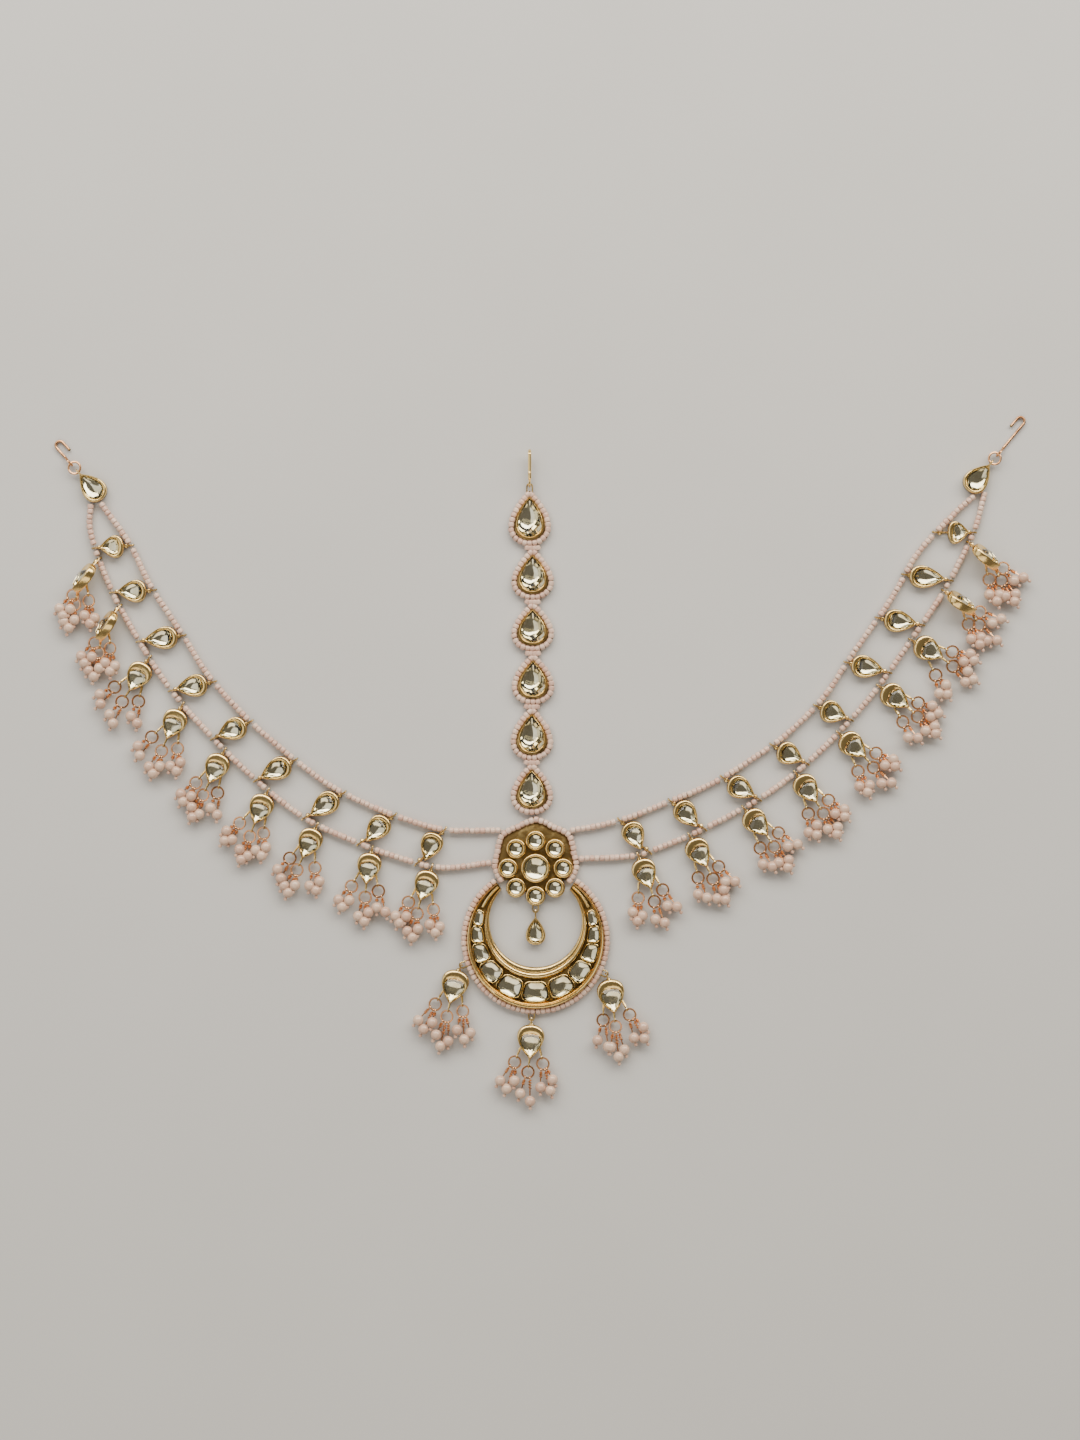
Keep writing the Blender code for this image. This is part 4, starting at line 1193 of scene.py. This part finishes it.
reached = ROSETTE_RADIUS * ROSETTE_TOP_SHARE
for number in range(len(LINKS), 0, -1):
    length, aside = np.array(LINKS[number - 1]) * MM
    reached += CLEARANCE + length
    CHAIN_TOP = MIDDLE + flat(aside, reached)
    link(f"link_{number}", CHAIN_TOP, length, number == 1)
print("chain length in mm:", round((CHAIN_TOP[1] - MIDDLE[1]) / MM, 1))

# %% [markdown]
# ## The rosette
# Eight round stones stand in a ring on a scalloped plate with a larger one in the middle, and
# beads follow its edge except at the foot, where it meets the crescent.

# %% The rosette's outline and stones
PETAL_CIRCLE = 7.45 * MM
PETAL_WIDTH = 5.4 * MM
CENTRE_WIDTH = 7.9 * MM
CENTRE_RISE = 0.4 * MM
PETALS = 8
ROSETTE_FOOT = ROSETTE_RADIUS * ROSETTE_LOW_SHARE - 0.1 * MM
BORDER_REACH = 114.0

# The wave of the plate's lower edge past the stones' circle: its middle and swing in
# millimetres, its share of an inset, and the degrees from the top over which it comes in
WAVE_MIDDLE, WAVE_SWING = 0.9, 1.3
WAVE_INSET = 0.5
WAVE_START, WAVE_SPAN = 108.0, 10.0


def rosette_line(inset, count, shift=0.0):
    """The outline's shares joined by a smooth line round the centre."""
    degrees, shares = np.array(ROSETTE_OUTLINE).T
    turn = (np.arange(count) + shift) * 2 * math.pi / count
    radius = np.interp(np.degrees(np.minimum(turn, 2 * math.pi - turn)), degrees, shares)
    radius = radius * ROSETTE_RADIUS - inset
    return np.stack((radius * np.sin(turn), radius * np.cos(turn)), axis=1)


def plate_line(inset, count, shift=0.0):
    """The rosette's outline above; below it, a wave that follows the lower round stones."""
    outline = rosette_line(inset, count, shift)
    turn = (np.arange(count) + shift) * 2 * math.pi / count
    swing = (WAVE_MIDDLE + WAVE_SWING * np.cos(PETALS * turn)) * MM
    wave = PETAL_CIRCLE + swing - inset * WAVE_INSET
    degrees = np.degrees(np.minimum(turn, 2 * math.pi - turn))
    share = np.clip((degrees - WAVE_START) / WAVE_SPAN, 0.0, 1.0)
    reach = np.linalg.norm(outline, axis=1)
    return outline * ((reach * (1 - share) + wave * share) / reach)[:, None]


# The rosette's plate, low enough for the round settings to stand clear of it
ROSETTE_PLATE_SECTION = (
    # inset, height
    (0.4, 0.0), (0.25, 0.1), (0.22, 0.4), (0.35, 0.5), (1.7, 0.55), (2.0, 0.72), (4.0, 0.75),
)


def rosette():
    """The plate, its beads from one side of the foot to the other, and nine round stones."""
    skins = [plate(plate_line, ROSETTE_PLATE_SECTION, 128)]
    path = loft_line(rosette_line, BORDER_WIDTH / 2, BORDER_HEIGHT, 180)[:-1]
    turn = np.degrees(np.arctan2(path[:, 0], path[:, 1]))
    skins += beaded_edge(path[np.argsort(turn)][np.abs(np.sort(turn)) < BORDER_REACH])
    for turn in np.arange(PETALS) * 2 * math.pi / PETALS:
        centre = flat(math.sin(turn), math.cos(turn)) * PETAL_CIRCLE
        line = round_line(PETAL_WIDTH)
        skins += set_down([cup(line, PETAL_WIDTH / 2), stone(line, PETAL_WIDTH / 2, count=9)],
                          centre, axes_of(Y))
    line = round_line(CENTRE_WIDTH)
    skins += [cup(line, CENTRE_WIDTH / 2, CENTRE_RISE),
              stone(line, CENTRE_WIDTH / 2, CENTRE_RISE, 12)]
    skins = set_down(skins, MIDDLE, PLAIN_AXES)
    skins.append(flat_loop(MIDDLE - Y * ROSETTE_FOOT, -Y))
    piece("rosette", skins)


rosette()
print("round stones:", PETALS + 1)

# %% [markdown]
# ## The crescent
# The crescent is a cast body whose section runs from its beaded edge over a double rim into a
# channel of stones and up to a thick polished inner rim. The section is carried round from
# horn to horn, and its width changes because the opening isn't centred.

# %% The crescent's body
CRESCENT_RADIUS = 20.2 * MM
CRESCENT_DROP = 19.4 * MM
OPENING_RADIUS = 12.5 * MM
OPENING_RISE = 5.1 * MM
CRESCENT_CENTRE = MIDDLE - Y * CRESCENT_DROP

CRESCENT_SECTION = (
    # whole bead widths, share of what lies inside the beads, height in mm
    (0.28, 0.0, 0.0), (0.18, 0.0, 0.1), (0.16, 0.0, 0.32), (0.3, 0.0, 0.42), (0.9, 0.0, 0.5),
    (1.0, 0.0, 0.7), (1.0, 0.0, 2.3), (1.0, 0.015, 2.52), (1.0, 0.04, 2.6), (1.0, 0.065, 2.5),
    (1.0, 0.08, 2.2), (1.0, 0.095, 2.22), (1.0, 0.11, 2.42), (1.0, 0.13, 2.4), (1.0, 0.145, 2.1),
    (1.0, 0.15, 1.3), (1.0, 0.17, 0.9), (1.0, 0.70, 0.9), (1.0, 0.725, 1.2), (1.0, 0.73, 2.3),
    (1.0, 0.745, 2.72), (1.0, 0.77, 2.94), (1.0, 0.80, 3.02), (1.0, 0.835, 2.94), (1.0, 0.86, 2.7),
    (1.0, 0.875, 2.38), (1.0, 0.89, 2.26), (1.0, 0.92, 2.3), (1.0, 0.955, 2.24),
    (1.0, 0.985, 2.06), (1.0, 1.0, 1.75), (1.0, 1.0, 0.3), (1.0, 0.985, 0.05), (1.0, 0.96, 0.0),
)


def opening(turn):
    """Distance from the crescent's centre to its opening, by the cosine rule."""
    rise = -OPENING_RISE * np.cos(turn)
    return rise + np.sqrt(OPENING_RADIUS**2 - (OPENING_RISE * np.sin(turn)) ** 2)


def crescent_point(turn, share, beads, height):
    """A point this far round, this share of the way in, past this many bead widths."""
    border = CRESCENT_RADIUS - beads * BORDER_WIDTH
    radius = border - share * (CRESCENT_RADIUS - BORDER_WIDTH - opening(turn))
    x, y = np.sin(turn) * radius, -np.cos(turn) * radius
    return CRESCENT_CENTRE + np.stack(np.broadcast_arrays(x, y, height), axis=-1)


def horn_turn():
    """How far round from the lowest point the horns end, where they meet the rosette."""
    to_opening = CRESCENT_DROP - OPENING_RISE
    reach = ROSETTE_RADIUS * ROSETTE_LOW_SHARE + CLEARANCE
    cosine = (to_opening**2 + OPENING_RADIUS**2 - reach**2) / (2 * to_opening * OPENING_RADIUS)
    sine = math.sin(math.acos(cosine))
    return math.pi - math.atan2(OPENING_RADIUS * sine, OPENING_RADIUS * cosine + OPENING_RISE)


HORN = horn_turn()
beads_in, share_in, heights = np.array(CRESCENT_SECTION).T
round_turns = np.linspace(-HORN, HORN, 121)[:, None]
body = crescent_point(round_turns, share_in, beads_in, heights * MM)
CRESCENT_BODY = skin_of_grid(body, GOLD, ends=(GOLD, GOLD))
print("the horns end", round(math.degrees(HORN)), "degrees from the lowest point")

# %% [markdown]
# ## The crescent's stones
# Eleven slabs of glass fill the channel, each in a low cup of its own. A slab's outline is a
# squared oval laid between two angles, so it follows the channel and has cut corners.

# %% Slabs in the channel
CRESCENT_STONE_EDGES = (15.0, 43.0, 67.0, 87.0, 104.0, 119.0)
SLAB_CHANNEL = (0.15, 0.665)
SEPARATOR = 0.16 * MM
SLAB_POWER = 0.55
SLAB_FLOOR = 1.0 * MM
SLAB_EDGE = 0.17 * MM
HORN_RIB_SHARE = 0.42
HORN_RIB_START, HORN_RIB_END = 0.05, 0.02
HORN_RIB_WIDTH = 0.95 * MM
HORN_RIB_HEIGHT = 1.5 * MM
LOW_CUP = (
    # inset, height
    (0.0, 0.8), (0.0, 2.18), (0.03, 2.28), (0.09, 2.32), (0.15, 2.27), (0.19, 2.14), (0.22, 1.95),
)
CRESCENT_DROPS = {
    # name: (degrees from the lowest point, direction from straight down)
    "left_crescent_drop": (-71.0, -15.0),
    "centre_crescent_drop": (-3.0, -2.0),
    "right_crescent_drop": (64.0, 10.0),
}


def slab(first, last):
    """A stone between two angles: squared cosines and sines of a turn, laid on the channel."""
    low, high = SLAB_CHANNEL
    middle = (first + last) / 2
    clear = CRESCENT_RADIUS - BORDER_WIDTH - opening(middle)
    radius = CRESCENT_RADIUS - BORDER_WIDTH - clear * (low + high) / 2
    half_turn = (last - first) / 2 - SEPARATOR / 2 / radius
    half_wide = clear * (high - low) / 2

    def line(inset, count, shift=0.0):
        turn = (np.arange(count) + 0.5 + shift) * 2 * math.pi / count
        aside = squared(np.cos(turn), SLAB_POWER) * (half_turn - inset / radius) / half_turn
        out = squared(np.sin(turn), SLAB_POWER) * (1 - inset / half_wide)
        share = (low + high) / 2 + out * (high - low) / 2
        return crescent_point(middle + half_turn * aside, share, 1.0, 0.0)[:, :2]

    return [cup(line, half_wide, section=LOW_CUP, floor=SLAB_FLOOR),
            stone(line, half_wide, count=12, edge=SLAB_EDGE)]


def crescent():
    """The body, its slabs, a rib along each horn, its beads, and a loop for each drop."""
    edges = np.radians(CRESCENT_STONE_EDGES)
    spans = [(-edges[0], edges[0]), *zip(edges, edges[1:])]
    spans += [(-after, -before) for before, after in zip(edges, edges[1:])]
    skins = [CRESCENT_BODY]
    for first, last in spans:
        skins += slab(first, last)
    for way in (-1, 1):
        turns = np.linspace(edges[-1] + HORN_RIB_START, HORN - HORN_RIB_END, 14)[:, None] * way
        rib = crescent_point(turns, np.full(1, HORN_RIB_SHARE), 1.0, HORN_RIB_HEIGHT)[:, 0]
        skins.append(wire(rib, HORN_RIB_WIDTH, UP, 8))
    turns = np.linspace(-HORN, HORN, 160)[:, None]
    skins += beaded_edge(crescent_point(turns, np.zeros(1), 0.5, BORDER_HEIGHT)[:, 0])
    for place, _ in CRESCENT_DROPS.values():
        outward = bearing(place)
        skins.append(flat_loop(CRESCENT_CENTRE + outward * CRESCENT_RADIUS, outward))
    piece("crescent", skins)


crescent()
print("slabs:", 2 * len(CRESCENT_STONE_EDGES) - 1)

# %% [markdown]
# ## The crescent's drops and the inner drop
# Three larger drops hang from flat loops on the crescent, and a small pear hangs from the
# rosette's foot inside the opening, its round end down.

# %% Drops of the pendant
CRESCENT_DROP_SIZES = (9.4 * MM, 7.4 * MM, 15.4 * MM, 5.8 * MM)
INNER_DROP_LENGTH, INNER_DROP_WIDTH = 7.6 * MM, 5.4 * MM
CRESCENT_DROP_CLEARANCE = 0.5 * MM


def step_off_crescent(laid, hold, heading, outward):
    """How far along heading each point leaves the crescent's circle, by the quadratic formula.
    It takes what step_off_string takes, so that a drop can be given either."""
    offsets = laid - CRESCENT_CENTRE
    along = offsets @ heading
    room = CRESCENT_RADIUS + CRESCENT_DROP_CLEARANCE
    depth = along**2 - np.sum(offsets[:, :2]**2, axis=1) + room**2
    leaving = np.sqrt(np.maximum(depth, 0.0)) - along
    return max(STRING_ROOM, np.max(np.where(depth > 0, leaving, 0.0)))


for name, (place, direction) in CRESCENT_DROPS.items():
    outward = bearing(place)
    hold = CRESCENT_CENTRE + outward * (CRESCENT_RADIUS + LOOP_REACH) + UP * LOOP_HEIGHT
    heading = bearing(direction)
    hanging_drop(name, hold, heading, heading, outward, CRESCENT_DROP_SIZES,
                 step_off=step_off_crescent)

hold = MIDDLE - Y * (ROSETTE_FOOT + LOOP_REACH)
tip = hold - Y * STRING_ROOM
seat = tip - Y * 2 * SOLDER_DEPTH + UP * RIM_HEIGHT / 2
inner_skins = set_down(pear_setting(INNER_DROP_LENGTH, INNER_DROP_WIDTH),
                       tip - Y * INNER_DROP_LENGTH, axes_of(Y))
piece("inner_drop", [*inner_skins, eye(hold + UP * LOOP_HEIGHT, -Y, seat)])
print("pendant drops:", len(CRESCENT_DROPS) + 1)

# %% [markdown]
# ## Ends: stones, rings and hooks
# At each end a pear stone gathers both strings, a ring hangs from its tip and a small wire
# hook from the ring. The head hook is thicker and its bend stands up from the table.

# %% End stones, rings and end hooks
END_STONE_LENGTH = 9.2 * MM
END_STONE_WIDTH = 6.6 * MM
END_STONE_HEADINGS = {"left": -42.0, "right": 40.0}
STRING_END_CLEARANCE = 0.55 * MM
END_RING_WIRE = 0.6 * MM
HOOK_EYE_WIDTH = 2.6 * MM
HOOK_EYE_PLACE = 0.25 * MM
HOOK_TIP_SHARE = 1.12
HOOK_SIZES = {
    # name: length, wire, radius of the half circle, length of the return, in mm
    "left_hook": (6.6, 0.7, 1.1, 2.6),
    "right_hook": (11.6, 0.7, 1.1, 2.6),
    "head_hook": (8.5, 0.9, 1.6, 4.4),
}


def hook(name, bar, heading, curl):
    """An upright eye round a bar, a straight run, a half circle along curl and a return. A
    hook that curls upwards runs to its half circle in one slope, and is of gold."""
    length, wire_width, bend, back = np.array(HOOK_SIZES[name]) * MM
    lies_flat = curl[2] == 0
    metal_used = COPPER if lies_flat else GOLD
    middle = bar + heading * HOOK_EYE_PLACE
    middle[2] = HOOK_EYE_WIDTH / 2 + TABLE_CLEARANCE
    radius = (HOOK_EYE_WIDTH - END_RING_WIRE) / 2
    eye_path = circle_path(middle, heading, UP, radius, 18)
    low = UP * (wire_width / 2 + TABLE_CLEARANCE - middle[2]) * (1 - curl[2])
    centre = middle + heading * (length - bend) + curl * bend + low
    arc = circle_path(centre, -curl, heading, bend, 13, math.pi)
    first = middle + heading * radius
    if lies_flat:
        knee = first + heading * bend + low
        lead = (first, *np.linspace(knee, arc[0], 4)[:-1])
    else:
        lead = np.linspace(first, arc[0], 5)[:-1]
    path = np.vstack((lead, arc, arc[-1] - heading * back))
    square = UP if lies_flat else left_of(heading)
    piece(name, [wire(eased(path, 3), wire_width, square, finish=metal_used),
                 wire(eye_path, END_RING_WIRE, left_of(heading), 7, True, metal_used),
                 ball(path[-1], wire_width * HOOK_TIP_SHARE)])


for side, mirror in (("left", -1), ("right", 1)):
    upper_end, lower_end = ROUTES[f"{side}_upper"].at(0.0), ROUTES[f"{side}_lower"].at(0.0)
    apart = upper_end - lower_end
    reach = END_STONE_WIDTH / 2 + STRING_END_CLEARANCE
    away = -unit(left_of(apart)) * mirror
    belly = (upper_end + lower_end) / 2 + away * math.sqrt(reach**2 - np.dot(apart, apart) / 4)
    turn = math.radians(END_STONE_HEADINGS[side])
    heading = flat(math.sin(turn), math.cos(turn))
    start = belly - heading * END_STONE_WIDTH / 2
    skins = set_down(pear_setting(END_STONE_LENGTH, END_STONE_WIDTH), start, axes_of(heading))
    tip = start + heading * END_STONE_LENGTH + UP * LOOP_HEIGHT
    hold = tip + heading * (END_RING_WIRE / 2 + CLEARANCE)
    skins.append(eye(hold, -heading, tip - heading * 2 * SOLDER_DEPTH))
    piece(f"{side}_end_stone", skins)
    radius = (RING_WIDTH - END_RING_WIRE) / 2
    ring_path = circle_path(hold + heading * radius, X, Y, radius, 24)
    piece(f"{side}_ring", [wire(ring_path, END_RING_WIRE, UP, 8, True, COPPER)])
    hook(f"{side}_hook", hold + heading * 2 * radius, heading, left_of(heading) * mirror)

hook("head_hook", CHAIN_TOP + Y * LOOP_REACH, Y, UP)
print("hooks:", len(HOOK_SIZES))

# %% [markdown]
# ## The table, the light and the camera
# The picture looks straight down. A broad light from beyond the head hook makes the lower
# facets bright, two weaker ones open the shadows, and the pale table fills the rest.

# %% Table
TABLE_REACH = 1.6
TABLE_LEVEL = -0.0001


def table_top():
    """A pale square a hair under the jewel, with faint broad clouds."""
    finish = Finish("pale_table")
    clouds = finish.noise(per_metre=14.0, detail=4.0)
    finish.feed(
        base_color=finish.mix(clouds, (0.66, 0.65, 0.63, 1.0), (0.60, 0.59, 0.57, 1.0)),
        roughness=(0.62 + clouds * 0.12).kept(),
    )
    mesh = bpy.data.meshes.new("table")
    corners = [(x * TABLE_REACH, y * TABLE_REACH, TABLE_LEVEL)
               for x, y in ((-1, -1), (1, -1), (1, 1), (-1, 1))]
    mesh.from_pydata(corners, [], [(0, 1, 2, 3)])
    mesh.materials.append(finish.material)
    table = bpy.data.objects.new("table", mesh)
    bpy.context.scene.collection.objects.link(table)


table_top()

# %% Light
PHOTO_MIDDLE = MIDDLE + flat(1.2, 40.0) * MM
WORLD_COLOUR = (0.58, 0.53, 0.46, 1.0)
WORLD_STRENGTH = 0.26
SOFTBOXES = {
    # name: place from the picture's middle, sizes, watts, colour
    "window": ((0.1, 0.75, 0.62), (2.2, 0.55), 27.0, (1.0, 0.95, 0.86)),
    "side_fill": ((-0.9, 0.1, 0.9), (1.0, 1.2), 4.0, (1.0, 1.0, 1.0)),
    "front_fill": ((-0.15, -0.75, 0.7), (1.1, 0.5), 2.8, (1.0, 0.92, 0.8)),
}


def softbox(name, place, size, watts, colour):
    """A rectangular light that faces the jewel's middle."""
    light = bpy.data.lights.new(name, "AREA")
    light.color = colour
    light.shape = "RECTANGLE"
    light.size, light.size_y = size
    light.energy = watts
    lamp = bpy.data.objects.new(name, light)
    lamp.location = PHOTO_MIDDLE + np.array(place)
    towards = -np.array(place) / np.linalg.norm(place)
    lamp.rotation_euler = Vector(towards).to_track_quat("-Z", "Y").to_euler()
    bpy.context.scene.collection.objects.link(lamp)


for name, settings in SOFTBOXES.items():
    softbox(name, *settings)
world = bpy.data.worlds.new("studio")
world.use_nodes = True
background = world.node_tree.nodes["Background"]
background.inputs["Color"].default_value = WORLD_COLOUR
background.inputs["Strength"].default_value = WORLD_STRENGTH
bpy.context.scene.world = world
print("lights:", list(SOFTBOXES))

# %% Camera
PHOTO_ROWS = 1440
MM_TO_A_PIXEL = 0.27
FRAME_HEIGHT = PHOTO_ROWS * MM_TO_A_PIXEL * MM
PICTURE_LEVEL = 1.5 * MM
LENS = 70.0
SENSOR = 36.0
camera = bpy.data.cameras.new("camera")
camera.lens = LENS
camera.sensor_width = SENSOR
camera.clip_start = 0.01
view = bpy.data.objects.new("camera", camera)
view.location = PHOTO_MIDDLE + UP * (FRAME_HEIGHT * LENS / SENSOR + PICTURE_LEVEL)
bpy.context.scene.collection.objects.link(view)
bpy.context.scene.camera = view
print("camera height in m:", round(view.location.z, 3))

# %% Update the scene
bpy.context.view_layer.update()
